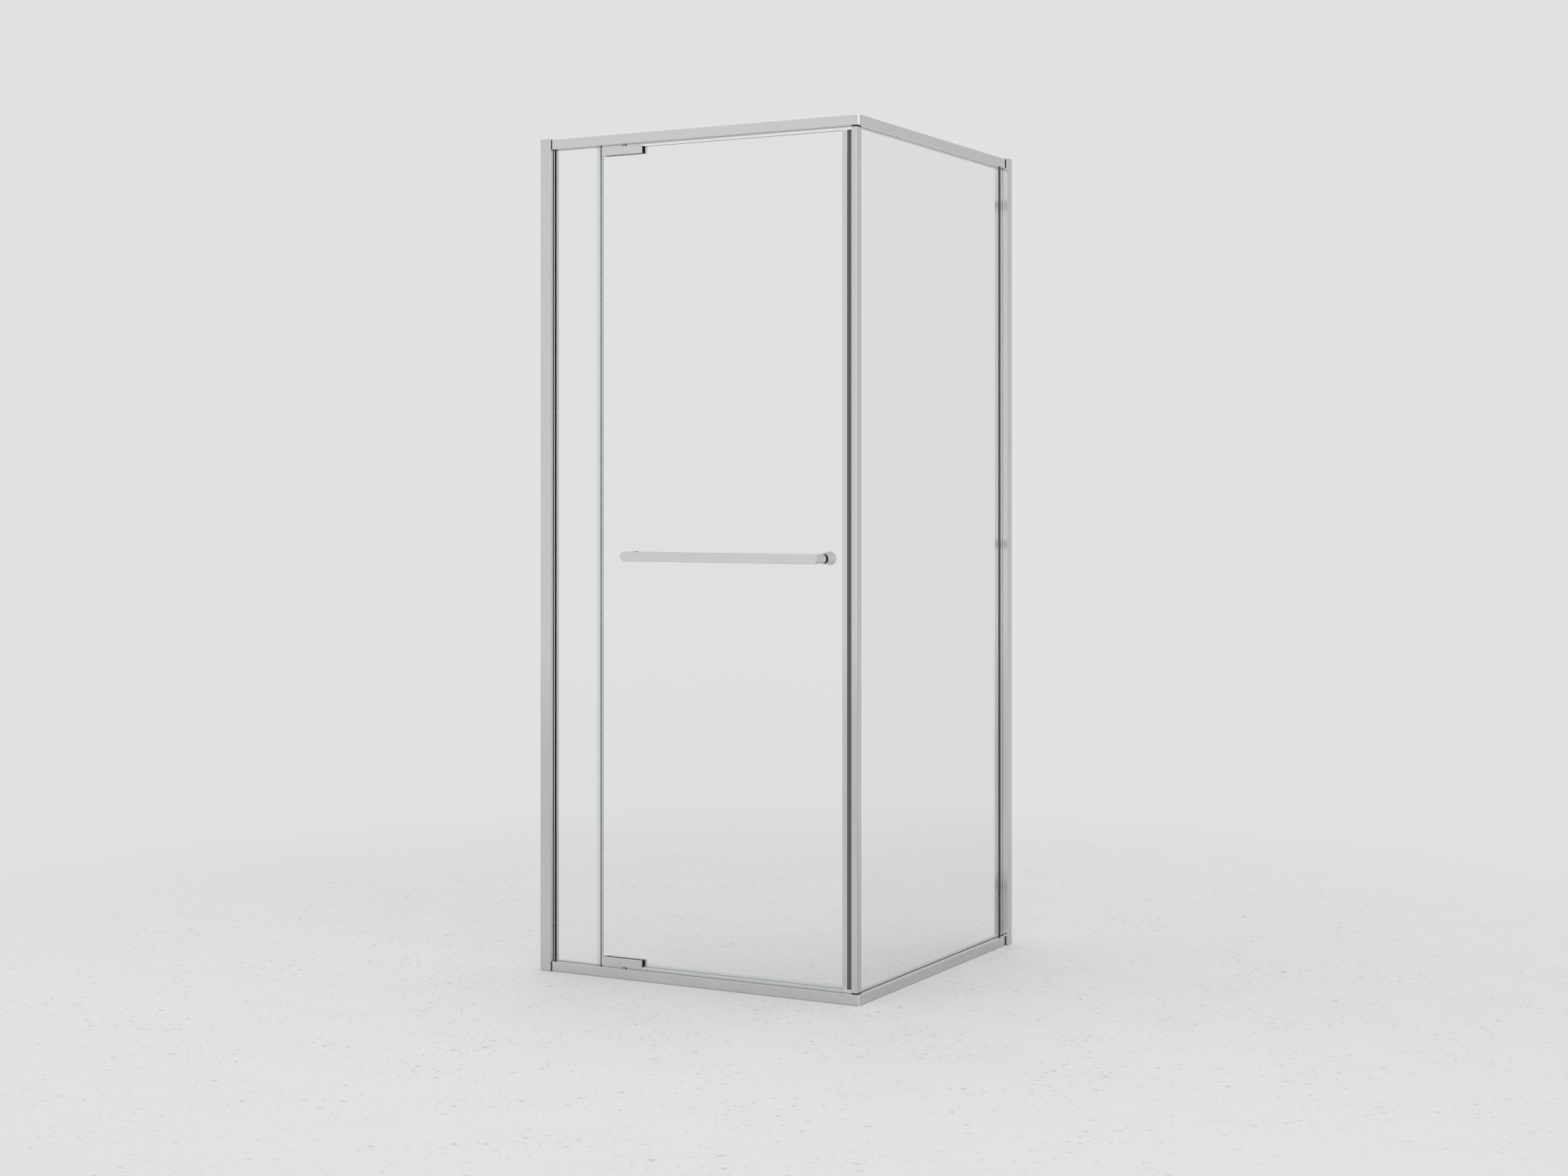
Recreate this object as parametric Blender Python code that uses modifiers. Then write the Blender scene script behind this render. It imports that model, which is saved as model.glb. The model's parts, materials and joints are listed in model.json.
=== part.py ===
"""Framed corner shower enclosure with one pivot door, modelled at its real size in metres.

The front runs along X and faces -Y. The return runs along Y and faces +X. They meet in a mitred corner
with a post, and each ends in a wall jamb. Every place below is measured from the outer corner of the rails:
"along" is a distance from that corner towards the wall, "inward" is a distance behind the outer face of the
rails, and "rise" is a distance into a rail from its outer horizontal face, up in the sill, down in the head.
"""
import math

import bmesh
import bpy
from mathutils import Matrix, Vector

# Overall sizes
WIDTH = 0.856
DEPTH = 0.856
HEIGHT = 2.000

# Clearances shared by all pieces
FIT_GAP = 0.0003
OVERRUN = 0.004

# Glass
GLASS_THICKNESS = 0.006
GLASS_INSET = 0.014
GLASS_CLEARANCE = 0.005

# Rails, one extrusion for the sill and the head
RAIL_DEPTH = 0.034
RAIL_HEIGHT = 0.023
RAIL_WALL = 0.0015
RAIL_RADIUS = 0.0008
RAIL_DROP = 0.002
RAIL_CORNER_CUT = 0.0023
POCKET_SIDE = 0.0025
POCKET_DEPTH = 0.014

# Wall jambs
JAMB_WIDTH = 0.0285
JAMB_PROUD = 0.005
JAMB_WALL = 0.002
JAMB_WEB = 0.003
JAMB_RADIUS = 0.0003
JAMB_GLASS_ENTRY = 0.015
JAMB_FACE_BAND = 0.0105
JAMB_GROOVE_DEPTH = 0.008
JAMB_POCKET_WALL = 0.0015
JAMB_LIP = 0.0012
JAMB_GASKET_WIDTH = 0.0043
JAMB_GASKET_DEPTH = 0.003
WALL_SCREW_RADIUS = 0.00275
WALL_SCREW_MARGIN = 0.250

# Glazing channels and strips
CHANNEL_BASE = 0.0025
RETURN_CHANNEL_RISE = 0.0005
RETURN_HEAD_LIP_DROP = 0.001
INNER_LIP_DROP = 0.003

# Corner post with its foot and head pads
POST_FRONT_INSET = 0.013
POST_SIDE_INSET = 0.011
POST_WIDTH = 0.0145
POST_BOX_DEPTH = 0.0105
POST_LEG_REACH = 0.0105
POST_LEG_THICKNESS = 0.003
POST_WALL = 0.0015
POST_RADIUS = 0.0003
POST_FACET_WIDTH = 0.0033
POST_FACET_DEPTH = 0.001
POST_GROOVE = 0.0006
POST_GLASS_GAP = 0.001
PAD_THICKNESS = 0.0011
PAD_SPIGOT = 0.015

# Corner keys and end plugs inside the rails
KEY_REACH = 0.040
PLUG_FLANGE = 0.0005
PLUG_PROUD = 0.0014
PLUG_TONGUE = 0.015

# Door and infill
INFILL_WIDTH = 0.1595
DOOR_HINGE_GAP = 0.0055
DOOR_CLOSING_EDGE = 0.0375
DOOR_GAP = 0.008
PIVOT_SETBACK = 0.060

# Infill edge seal
SEAL_WALL = 0.0008
SEAL_LEG = 0.0105
SEAL_BASE = 0.001
SEAL_NOSE = 0.0045
SEAL_NOSE_SHARE = 0.3

# Door closing stile and magnetic strips
STILE_WIDTH = 0.0123
STILE_THICKNESS = 0.0116
STILE_WEB = 0.0019
STILE_RADIUS = 0.0003
MAGNET_WIDTH = 0.0041
MAGNET_THICKNESS = 0.009
POST_MAGNET_WIDTH = 0.0045
POST_MAGNET_THICKNESS = 0.007
MAGNET_RADIUS = 0.0008

# Door drip seal
DRIP_LEG = 0.0075
DRIP_BASE = 0.0012
DRIP_VANE_DROP = 0.0056
DRIP_VANE_LEAN = 0.0014

# Hinge blocks
HINGE_LENGTH = 0.108
HINGE_OFFSET = 0.003
HINGE_HEIGHT = 0.019
HINGE_OUTER_PLATE = 0.006
HINGE_OUTER_GASKET = 0.0069
HINGE_INNER_PLATE = 0.008
HINGE_INNER_ROUND = 0.0045
HINGE_INNER_GASKET = 0.0012
HINGE_INNER_GASKET_INSET = 0.0035
HINGE_PAST_GLASS = 0.0022
HINGE_BOSS_LENGTH = 0.033
HINGE_BOSS_HEIGHT = 0.016
HINGE_EDGE = 0.0006
HINGE_GASKET_TOP = 0.0002
HINGE_GASKET_END = 0.001
HINGE_SCREW_SPREAD = 0.011
HINGE_SCREW_RADIUS = 0.002
HINGE_SCREW_HEAD_RADIUS = 0.004
HINGE_SCREW_HEAD = 0.0022
HINGE_SCREW_LENGTH = 0.0145
NOTCH_RADIUS = 0.003
NOTCH_CLEARANCE = 0.0015

# Pivot pins and bushes
PIN_TIP_RADIUS = 0.0025
PIN_SHOULDER_RADIUS = 0.0045
PIN_SHANK_RADIUS = 0.003
PIN_SHANK = 0.014
PIN_TIP = 0.012
BUSH_RADIUS = 0.0042
BUSH_COLLAR_RADIUS = 0.0065
BUSH_COLLAR = 0.003
BUSH_CHAMFER = 0.0006

# Cover strips that close the pocket in the doorway
COVER_WALL = 0.0015

# Handle
HANDLE_HEIGHT = 1.000
HANDLE_CLOSING_MARGIN = 0.0625
HANDLE_HINGE_MARGIN = 0.091
HANDLE_BAR_RADIUS = 0.01125
HANDLE_BAR_THICKNESS = 0.010
HANDLE_STANDOFF = 0.049
HANDLE_EDGE = 0.0008
HANDLE_WASHER = 0.0015
HANDLE_WASHER_RADIUS = 0.0115
HANDLE_INNER_WASHER = 0.0045
HANDLE_HOLE_RADIUS = 0.007
HANDLE_STUD_RADIUS = 0.004
HANDLE_STUD_BAR_ENTRY = 0.006
KNOB_LENGTH = 0.030
KNOB_RADIUS = 0.016
KNOB_EDGE = 0.001
CAP_LENGTH = 0.008
CAP_RADIUS = 0.011
KNOB_STUD_ENTRY = 0.018
CAP_STUD_ENTRY = 0.004

# Facets of turned and rounded shapes
TURN_STEPS = 40
PIN_STEPS = 24
HOLE_STEPS = 24
BAR_END_STEPS = 14
FILLET_STEPS = 3
ROUND_STEPS = 8
HALF_TURN = math.pi
QUARTER_TURN = math.pi / 2
EIGHTH_TURN = math.pi / 4
MERGE_DISTANCE = 0.00001
SMOOTH_ANGLE = math.radians(30)

# Places worked out from the sizes above
GLASS_BACK = GLASS_INSET + GLASS_THICKNESS
GLASS_MID = GLASS_INSET + GLASS_THICKNESS / 2
POCKET_FRONT = GLASS_INSET - POCKET_SIDE
POCKET_BACK = GLASS_BACK + POCKET_SIDE
POCKET_FLOOR = RAIL_HEIGHT - POCKET_DEPTH
RAIL_TOP = HEIGHT - RAIL_DROP
WALL_SCREW_HEIGHTS = (WALL_SCREW_MARGIN, HEIGHT / 2, HEIGHT - WALL_SCREW_MARGIN)
JAMB_FACE = {"front": WIDTH - JAMB_WIDTH, "return": DEPTH - JAMB_WIDTH}
WALL_FACE = {"front": WIDTH, "return": DEPTH}
FIXED_GLASS_END = {run: face + JAMB_GLASS_ENTRY for run, face in JAMB_FACE.items()}
PLUG_START = {run: face - FIT_GAP for run, face in JAMB_FACE.items()}
RAIL_END = {run: start - PLUG_FLANGE - FIT_GAP for run, start in PLUG_START.items()}
CHAMBERS = (
    (RAIL_WALL, POCKET_FRONT - RAIL_WALL, RAIL_WALL, RAIL_HEIGHT - RAIL_WALL),
    (POCKET_BACK + RAIL_WALL, RAIL_DEPTH - RAIL_WALL, RAIL_WALL, RAIL_HEIGHT - RAIL_WALL),
)
FIXED_GLASS_LOW = POCKET_FLOOR + CHANNEL_BASE + 2 * FIT_GAP
FIXED_GLASS_HIGH = RAIL_TOP - POCKET_FLOOR - GLASS_CLEARANCE
UPRIGHT_LOW = RAIL_HEIGHT + RETURN_CHANNEL_RISE + FIT_GAP
UPRIGHT_HIGH = RAIL_TOP - UPRIGHT_LOW
POST_PAD_RISE = RAIL_HEIGHT + FIT_GAP
POST_LOW = POST_PAD_RISE + PAD_THICKNESS + FIT_GAP
POST_HIGH = RAIL_TOP - POST_LOW
POST_DOOR_SIDE = POST_SIDE_INSET + POST_WIDTH
POST_REBATE = POST_FRONT_INSET + POST_BOX_DEPTH
POST_BACK = POST_REBATE + POST_LEG_REACH
RETURN_GLASS_START = POST_REBATE + POST_GLASS_GAP
INFILL_EDGE = WIDTH - INFILL_WIDTH
DOOR_HINGE_EDGE = INFILL_EDGE - DOOR_HINGE_GAP
PIVOT_ALONG = DOOR_HINGE_EDGE - PIVOT_SETBACK
DOOR_LOW = RAIL_HEIGHT + DOOR_GAP
DOOR_HIGH = RAIL_TOP - DOOR_LOW
HINGE_START = DOOR_LOW - HINGE_PAST_GLASS
HINGE_MID = HINGE_START + HINGE_HEIGHT / 2
HINGE_ENDS = [HINGE_OFFSET - PIVOT_ALONG + side * HINGE_LENGTH / 2 for side in (-1, 1)]
BOSS_ENDS = [-PIVOT_ALONG + side * HINGE_BOSS_LENGTH / 2 for side in (-1, 1)]
JAMB_GASKET_SIDE = GLASS_BACK + JAMB_GASKET_WIDTH
PLATE_BACK = GLASS_INSET - HINGE_OUTER_GASKET - 2 * FIT_GAP
PLATE_FRONT = PLATE_BACK - HINGE_OUTER_PLATE
INNER_PLATE_FRONT = GLASS_BACK + HINGE_INNER_GASKET + 2 * FIT_GAP
INNER_PLATE_BACK = INNER_PLATE_FRONT + HINGE_INNER_PLATE
STILE_CLOSING = DOOR_CLOSING_EDGE - FIT_GAP - STILE_WEB
STILE_HINGE_SIDE = STILE_CLOSING + STILE_WIDTH
STILE_FRONT = GLASS_MID - STILE_THICKNESS / 2
STILE_BACK = GLASS_MID + STILE_THICKNESS / 2
HANDLE_POSTS = {
    "left": DOOR_HINGE_EDGE - HANDLE_HINGE_MARGIN,
    "right": DOOR_CLOSING_EDGE + HANDLE_CLOSING_MARGIN,
}
HANDLE_FRONT = GLASS_INSET - HANDLE_STANDOFF
BAR_BACK = HANDLE_FRONT + HANDLE_BAR_THICKNESS
OUTER_WASHER_FRONT = GLASS_INSET - FIT_GAP - HANDLE_WASHER
INNER_WASHER_FRONT = GLASS_BACK + FIT_GAP
INNER_WASHER_BACK = INNER_WASHER_FRONT + HANDLE_INNER_WASHER
KNOB_START = INNER_WASHER_BACK + FIT_GAP
STUD_START = BAR_BACK - HANDLE_STUD_BAR_ENTRY
# The model's origin is the middle of its footprint box, on the floor
ORIGIN = Vector(((WIDTH - JAMB_PROUD) / 2, -(DEPTH + HANDLE_FRONT) / 2, 0))
PIVOT = Vector((-PIVOT_ALONG, GLASS_MID, 0))

FINISHES = {
    "bright_aluminium": ((0.80, 0.81, 0.82), 1.0, 0.12, 1.0),
    "chrome": ((0.86, 0.87, 0.88), 1.0, 0.06, 1.0),
    "clear_glass": ((0.83, 0.90, 0.88), 0.0, 0.03, 0.30),
    "black_rubber": ((0.02, 0.02, 0.022), 0.0, 0.60, 1.0),
    "clear_vinyl": ((0.85, 0.87, 0.87), 0.0, 0.20, 0.50),
    "grey_nylon": ((0.60, 0.61, 0.62), 0.0, 0.40, 1.0),
    "magnet_strip": ((0.11, 0.11, 0.12), 0.0, 0.50, 1.0),
    "steel": ((0.62, 0.62, 0.63), 1.0, 0.25, 1.0),
}


def clear_scene():
    """Remove everything that is in the scene at the start."""
    for obj in list(bpy.data.objects):
        bpy.data.objects.remove(obj, do_unlink=True)


def make_collection(name):
    """Make a collection under the scene's own."""
    collection = bpy.data.collections.new(name)
    bpy.context.scene.collection.children.link(collection)
    return collection


def make_empty(name, location, parent=None):
    """Make an empty that carries a group of pieces."""
    empty = bpy.data.objects.new(name, None)
    PARTS.objects.link(empty)
    empty.parent = parent
    empty.location = location
    return empty


def make_material(piece, finish):
    """Give a piece a Principled material of its own."""
    colour, metallic, roughness, alpha = FINISHES[finish]
    material = bpy.data.materials.new(piece.name + "_" + finish)
    material.use_nodes = True
    shader = material.node_tree.nodes["Principled BSDF"]
    shader.inputs["Base Color"].default_value = (*colour, 1.0)
    shader.inputs["Metallic"].default_value = metallic
    shader.inputs["Roughness"].default_value = roughness
    shader.inputs["Alpha"].default_value = alpha
    piece.data.materials.clear()
    piece.data.materials.append(material)


def plan(run, along, inward):
    """Plan position of a point that lies along a run and inward from its outer face."""
    return (-along, inward) if run == "front" else (-inward, along)


def level_height(level, rise):
    """Height of a point in the sill or the head, by its distance from the rail's outer horizontal face."""
    return rise if level == "sill" else RAIL_TOP - rise


def fillet(corners, steps=FILLET_STEPS):
    """Outline through (x, y, radius) corners, with an arc of the given radius at each."""
    points = []
    for index, (x, y, radius) in enumerate(corners):
        here = Vector((x, y))
        if not radius:
            points.append(here)
            continue
        before = (Vector(corners[index - 1][:2]) - here).normalized()
        after = (Vector(corners[(index + 1) % len(corners)][:2]) - here).normalized()
        half_angle = before.angle(after) / 2
        reach = radius / math.tan(half_angle)
        centre = here + (before + after).normalized() * (radius / math.sin(half_angle))
        first = here + before * reach - centre
        sweep = first.angle_signed(here + after * reach - centre)
        for step in range(steps + 1):
            points.append(centre + Matrix.Rotation(-sweep * step / steps, 2) @ first)
    return [tuple(point) for point in points]


def rectangle(x_low, x_high, y_low, y_high, radius=0):
    """Outline of a rectangle."""
    return fillet([(x_low, y_low, radius), (x_high, y_low, radius), (x_high, y_high, radius),
                   (x_low, y_high, radius)])


def circle(x, y, radius, steps=HOLE_STEPS):
    """Outline of a circle."""
    turns = (2 * HALF_TURN * step / steps for step in range(steps))
    return [(x + radius * math.cos(turn), y + radius * math.sin(turn)) for turn in turns]


def adopt(obj, carrier, collection):
    """Hang an object, placed from the outer corner, on its carrier."""
    collection.objects.link(obj)
    obj.parent = carrier
    obj.location = Vector(obj.location) - (PIVOT if carrier is DOOR else Vector())
    return obj


def finish_piece(obj, finish):
    """Shade a piece smooth between its sharp edges and give it its material."""
    obj.data.shade_smooth()
    obj.data.set_sharp_from_angle(angle=SMOOTH_ANGLE)
    if finish:
        make_material(obj, finish)
    return obj


def is_end_face(face):
    """Tell whether a face of an extrusion belongs to one of its two ends."""
    heights = [vert.co.z for vert in face.verts]
    return max(heights) - min(heights) < MERGE_DISTANCE


def tidy_ends(shape):
    """Turn the edges inside an extrusion's ends so that no end triangle is flat."""
    ends = [face for face in shape.faces if is_end_face(face)]
    inside = [edge for edge in shape.edges if all(is_end_face(face) for face in edge.link_faces)]
    bmesh.ops.beautify_fill(shape, faces=ends, edges=inside, method="AREA")


def extrusion(name, outlines, start, end, axis, carrier, finish=None):
    """Extrude outlines between two distances along an axis; inner outlines become hollows.

    Outline points are (y, z) for axis X, (x, z) for axis Y and (x, y) for axis Z.
    """
    curve = bpy.data.curves.new(name + "_section", "CURVE")
    curve.dimensions = "2D"
    curve.fill_mode = "BOTH"
    curve.extrude = (end - start) / 2
    for outline in outlines:
        spline = curve.splines.new("POLY")
        spline.points.add(len(outline) - 1)
        for point, (x, y) in zip(spline.points, outline):
            point.co = (x, y, 0, 1)
        spline.use_cyclic_u = True
    guide = bpy.data.objects.new(name + "_guide", curve)
    CUTTERS.objects.link(guide)
    middle = (start + end) / 2
    turns = {"X": (QUARTER_TURN, 0, QUARTER_TURN), "Y": (QUARTER_TURN, 0, 0), "Z": (0, 0, 0)}
    places = {"X": (middle, 0, 0), "Y": (0, middle, 0), "Z": (0, 0, middle)}
    guide.rotation_euler = turns[axis]
    guide.location = places[axis]
    bpy.context.view_layer.update()
    mesh = bpy.data.meshes.new_from_object(guide.evaluated_get(bpy.context.evaluated_depsgraph_get()))
    mesh.name = name
    welded = bmesh.new()
    welded.from_mesh(mesh)
    bmesh.ops.remove_doubles(welded, verts=welded.verts, dist=MERGE_DISTANCE)
    tidy_ends(welded)
    bmesh.ops.recalc_face_normals(welded, faces=welded.faces)
    welded.to_mesh(mesh)
    welded.free()
    piece = bpy.data.objects.new(name, mesh)
    piece.rotation_euler = guide.rotation_euler
    piece.location = guide.location
    bpy.data.objects.remove(guide, do_unlink=True)
    bpy.data.curves.remove(curve)
    adopt(piece, carrier, PARTS if finish else CUTTERS)
    return finish_piece(piece, finish)


def run_extrusion(name, run, outlines, start, end, carrier, finish=None):
    """Extrude (inward, height) outlines along a run, between two distances from the corner."""
    if run == "front":
        return extrusion(name, outlines, -end, -start, "X", carrier, finish)
    flipped = [[(-inward, height) for inward, height in outline] for outline in outlines]
    return extrusion(name, flipped, start, end, "Y", carrier, finish)


def upright(name, run, outlines, low, high, carrier, finish=None):
    """Extrude (along, inward) outlines between two heights."""
    turned_outlines = [[plan(run, along, inward) for along, inward in outline] for outline in outlines]
    return extrusion(name, turned_outlines, low, high, "Z", carrier, finish)


def solid_from(name, shape, carrier, finish):
    """Make an object from a bmesh and hang it on its carrier."""
    mesh = bpy.data.meshes.new(name)
    shape.to_mesh(mesh)
    shape.free()
    piece = bpy.data.objects.new(name, mesh)
    adopt(piece, carrier, PARTS if finish else CUTTERS)
    return finish_piece(piece, finish)


def block(name, low, high, carrier, finish=None):
    """Make a box between two corners, given in any order."""
    shape = bmesh.new()
    bmesh.ops.create_cube(shape, size=1)
    size = [abs(b - a) for a, b in zip(low, high)]
    middle = [(a + b) / 2 for a, b in zip(low, high)]
    bmesh.ops.scale(shape, vec=size, verts=shape.verts)
    bmesh.ops.translate(shape, vec=middle, verts=shape.verts)
    return solid_from(name, shape, carrier, finish)


def rod(name, start, end, radius, carrier, finish=None, steps=HOLE_STEPS):
    """Make a cylinder between two points."""
    axis = Vector(end) - Vector(start)
    shape = bmesh.new()
    bmesh.ops.create_cone(shape, cap_ends=True, segments=steps, radius1=radius, radius2=radius,
                          depth=axis.length)
    turn = axis.to_track_quat("Z", "Y").to_matrix()
    bmesh.ops.rotate(shape, cent=(0, 0, 0), matrix=turn, verts=shape.verts)
    bmesh.ops.translate(shape, vec=(Vector(start) + Vector(end)) / 2, verts=shape.verts)
    return solid_from(name, shape, carrier, finish)


def turned(name, profile, start, direction, carrier, finish, steps=TURN_STEPS):
    """Turn a profile of (radius, distance) points about an axis that leaves a point in a direction.

    The profile is closed and goes round the section with the far end first, then down its outer side.
    """
    mesh = bpy.data.meshes.new(name)
    points = [(radius, 0, distance) for radius, distance in profile]
    on_axis = [radius < MERGE_DISTANCE for radius, distance in profile]
    edges = []
    for index in range(len(profile)):
        following = (index + 1) % len(profile)
        if not (on_axis[index] and on_axis[following]):
            edges.append((index, following))
    mesh.from_pydata(points, edges, [])
    piece = bpy.data.objects.new(name, mesh)
    piece.rotation_euler = Vector(direction).to_track_quat("Z", "Y").to_euler()
    piece.location = start
    screw = piece.modifiers.new("Turn", "SCREW")
    screw.axis = "Z"
    screw.angle = 2 * HALF_TURN
    screw.steps = steps
    screw.render_steps = steps
    screw.use_merge_vertices = True
    screw.merge_threshold = MERGE_DISTANCE
    screw.use_smooth_shade = True
    adopt(piece, carrier, PARTS if finish else CUTTERS)
    if finish:
        make_material(piece, finish)
    return piece


def combine(piece, other, operation):
    """Cut or join another object with a piece; the other object becomes a hidden guide."""
    other.hide_render = True
    other.display_type = "WIRE"
    boolean = piece.modifiers.new(other.name, "BOOLEAN")
    boolean.operation = operation
    boolean.solver = "EXACT"
    boolean.object = other
    return piece


def cut(piece, cutter):
    """Cut a cutter's shape out of a piece."""
    return combine(piece, cutter, "DIFFERENCE")


def join(piece, other):
    """Join another shape to a piece."""
    return combine(piece, other, "UNION")


def soften(piece, width):
    """Bevel the sharp edges of a piece."""
    bevel = piece.modifiers.new("Soften", "BEVEL")
    bevel.width = width
    bevel.segments = 2
    bevel.limit_method = "ANGLE"
    bevel.angle_limit = EIGHTH_TURN
    return piece


def rail_outlines(level):
    """Section of a rail with its glazing pocket and hollow chambers, as (inward, height)."""
    corners = [(0, 0, RAIL_RADIUS), (RAIL_DEPTH, 0, RAIL_RADIUS), (RAIL_DEPTH, RAIL_HEIGHT, RAIL_RADIUS),
               (POCKET_BACK, RAIL_HEIGHT, 0), (POCKET_BACK, POCKET_FLOOR, 0),
               (POCKET_FRONT, POCKET_FLOOR, 0), (POCKET_FRONT, RAIL_HEIGHT, 0),
               (0, RAIL_HEIGHT, RAIL_RADIUS)]
    under_pocket = (POCKET_FRONT, POCKET_BACK, RAIL_WALL, POCKET_FLOOR - RAIL_WALL)
    outlines = [fillet(corners)]
    outlines += [rectangle(*chamber) for chamber in (*CHAMBERS, under_pocket)]
    return [[(inward, level_height(level, rise)) for inward, rise in outline] for outline in outlines]


def corner_block(name, level, direction, distance):
    """Turned cube that lies beyond a distance from the rails' corner, for cutting the rails."""
    size = 3 * RAIL_DEPTH
    cutter = block(name, (-size / 2,) * 3, (size / 2,) * 3, FRAME)
    cutter.rotation_euler = (0, 0, EIGHTH_TURN)
    reach = distance + size / 2
    cutter.location = (direction[0] * reach * math.cos(EIGHTH_TURN),
                       direction[1] * reach * math.sin(EIGHTH_TURN), level_height(level, RAIL_HEIGHT / 2))
    return cutter


def make_rail(name, run, level):
    """Make a rail from its end plug to the mitred corner, whose outer edge is cut flat."""
    rail = run_extrusion(name, run, rail_outlines(level), -OVERRUN, RAIL_END[run], FRAME, "bright_aluminium")
    side = 1 if run == "front" else -1
    cut(rail, corner_block(name + "_mitre", level, (side, side), -FIT_GAP / 2))
    flat = RAIL_CORNER_CUT * math.cos(EIGHTH_TURN)
    return cut(rail, corner_block(name + "_corner_cut", level, (1, -1), -flat))


def make_corner_key(name, level):
    """Make the L-shaped key that joins the outer chambers of two mitred rails."""
    low, high, bottom, top = CHAMBERS[0]
    near = -(low + FIT_GAP)
    far = -(high - FIT_GAP)
    outline = [(near, -near), (near, KEY_REACH), (far, KEY_REACH), (far, -far), (-KEY_REACH, -far),
               (-KEY_REACH, -near)]
    heights = sorted(level_height(level, rise) for rise in (bottom + FIT_GAP, top - FIT_GAP))
    return extrusion(name, [outline], *heights, "Z", FRAME, "grey_nylon")


def make_end_plug(name, run, level):
    """Make the dark plug between a rail's end and its jamb, with a tongue in each rail chamber."""
    flange = [(-PLUG_PROUD, FIT_GAP), (RAIL_DEPTH - FIT_GAP, FIT_GAP),
              (RAIL_DEPTH - FIT_GAP, RAIL_HEIGHT - FIT_GAP), (POCKET_BACK, RAIL_HEIGHT - FIT_GAP),
              (POCKET_BACK, POCKET_FLOOR), (POCKET_FRONT, POCKET_FLOOR),
              (POCKET_FRONT, RAIL_HEIGHT - FIT_GAP), (-PLUG_PROUD, RAIL_HEIGHT - FIT_GAP)]
    outline = [(inward, level_height(level, rise)) for inward, rise in flange]
    start = PLUG_START[run] - PLUG_FLANGE
    plug = run_extrusion(name, run, [outline], start, PLUG_START[run], FRAME, "black_rubber")
    for index, (front, back, bottom, top) in enumerate(CHAMBERS):
        tongue = [(inward, level_height(level, rise)) for inward, rise in
                  rectangle(front + FIT_GAP, back - FIT_GAP, bottom + FIT_GAP, top - FIT_GAP)]
        guide = run_extrusion(f"{name}_tongue_{index}", run, [tongue], start - PLUG_TONGUE,
                              start + PLUG_FLANGE / 2, FRAME)
        join(plug, guide)
    return plug


def make_jamb(name, run):
    """Make a wall jamb: hollow legs on a web, a pocket for the glass, a groove and a gasket rebate."""
    wall = WALL_FACE[run]
    face = JAMB_FACE[run]
    web = wall - JAMB_WEB
    mouth = face + JAMB_LIP
    rebate = face + JAMB_GASKET_DEPTH
    lip_front = GLASS_INSET - FIT_GAP
    groove_floor = face + JAMB_GROOVE_DEPTH
    groove_front = JAMB_FACE_BAND - JAMB_PROUD
    groove_back = POCKET_FRONT - JAMB_POCKET_WALL
    corners = [(wall, -JAMB_PROUD, JAMB_RADIUS), (wall, RAIL_DEPTH, JAMB_RADIUS),
               (face, RAIL_DEPTH, JAMB_RADIUS), (face, JAMB_GASKET_SIDE, 0), (rebate, JAMB_GASKET_SIDE, 0),
               (rebate, POCKET_BACK, 0), (web, POCKET_BACK, 0), (web, POCKET_FRONT, 0),
               (mouth, POCKET_FRONT, 0), (mouth, lip_front, 0), (face, lip_front, 0), (face, groove_back, 0),
               (groove_floor, groove_back, 0), (groove_floor, groove_front, 0), (face, groove_front, 0),
               (face, -JAMB_PROUD, JAMB_RADIUS)]
    hollows = [rectangle(face + JAMB_WALL, web, -JAMB_PROUD + JAMB_WALL, groove_front - JAMB_WALL),
               rectangle(groove_floor + JAMB_WALL, web, groove_front, POCKET_FRONT - JAMB_WALL),
               rectangle(face + JAMB_WALL, web, JAMB_GASKET_SIDE + JAMB_WALL, RAIL_DEPTH - JAMB_WALL)]
    jamb = upright(name, run, [fillet(corners), *hollows], 0, HEIGHT, FRAME, "bright_aluminium")
    for index, height in enumerate(WALL_SCREW_HEIGHTS):
        start = (*plan(run, web - OVERRUN, GLASS_MID), height)
        end = (*plan(run, wall + OVERRUN, GLASS_MID), height)
        cut(jamb, rod(f"{name}_screw_hole_{index}", start, end, WALL_SCREW_RADIUS, FRAME))
    return jamb


def post_outline():
    """Section of the corner post with its facet, groove and glass channel, as front (along, inward)."""
    leg_front = POST_DOOR_SIDE - POST_LEG_THICKNESS
    lip_inside = GLASS_INSET - FIT_GAP
    facet_back = POST_FRONT_INSET + POST_FACET_DEPTH
    groove_floor = POST_SIDE_INSET + POST_GROOVE
    groove_back = facet_back + POST_GROOVE
    return fillet([(POST_DOOR_SIDE, POST_FRONT_INSET, POST_RADIUS),
                   (POST_SIDE_INSET + POST_FACET_WIDTH, POST_FRONT_INSET, 0),
                   (POST_SIDE_INSET, facet_back, 0), (groove_floor, facet_back, 0),
                   (groove_floor, groove_back, 0), (POST_SIDE_INSET, groove_back, 0),
                   (POST_SIDE_INSET, POST_BACK, POST_RADIUS), (lip_inside, POST_BACK, 0),
                   (lip_inside, POST_REBATE, 0), (leg_front, POST_REBATE, 0),
                   (leg_front, POST_BACK, 0), (POST_DOOR_SIDE, POST_BACK, 0)])


def post_chamber(gap):
    """Outline of the hollow in the corner post, or of a spigot that a gap keeps clear of its walls."""
    margin = POST_WALL + gap
    return rectangle(POST_SIDE_INSET + margin, POST_DOOR_SIDE - margin, POST_FRONT_INSET + margin,
                     POST_REBATE - margin)


def make_corner_post():
    """Make the post between the sill and the head."""
    return upright("corner_post", "front", [post_outline(), post_chamber(0)], POST_LOW, POST_HIGH, FRAME,
                   "bright_aluminium")


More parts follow.
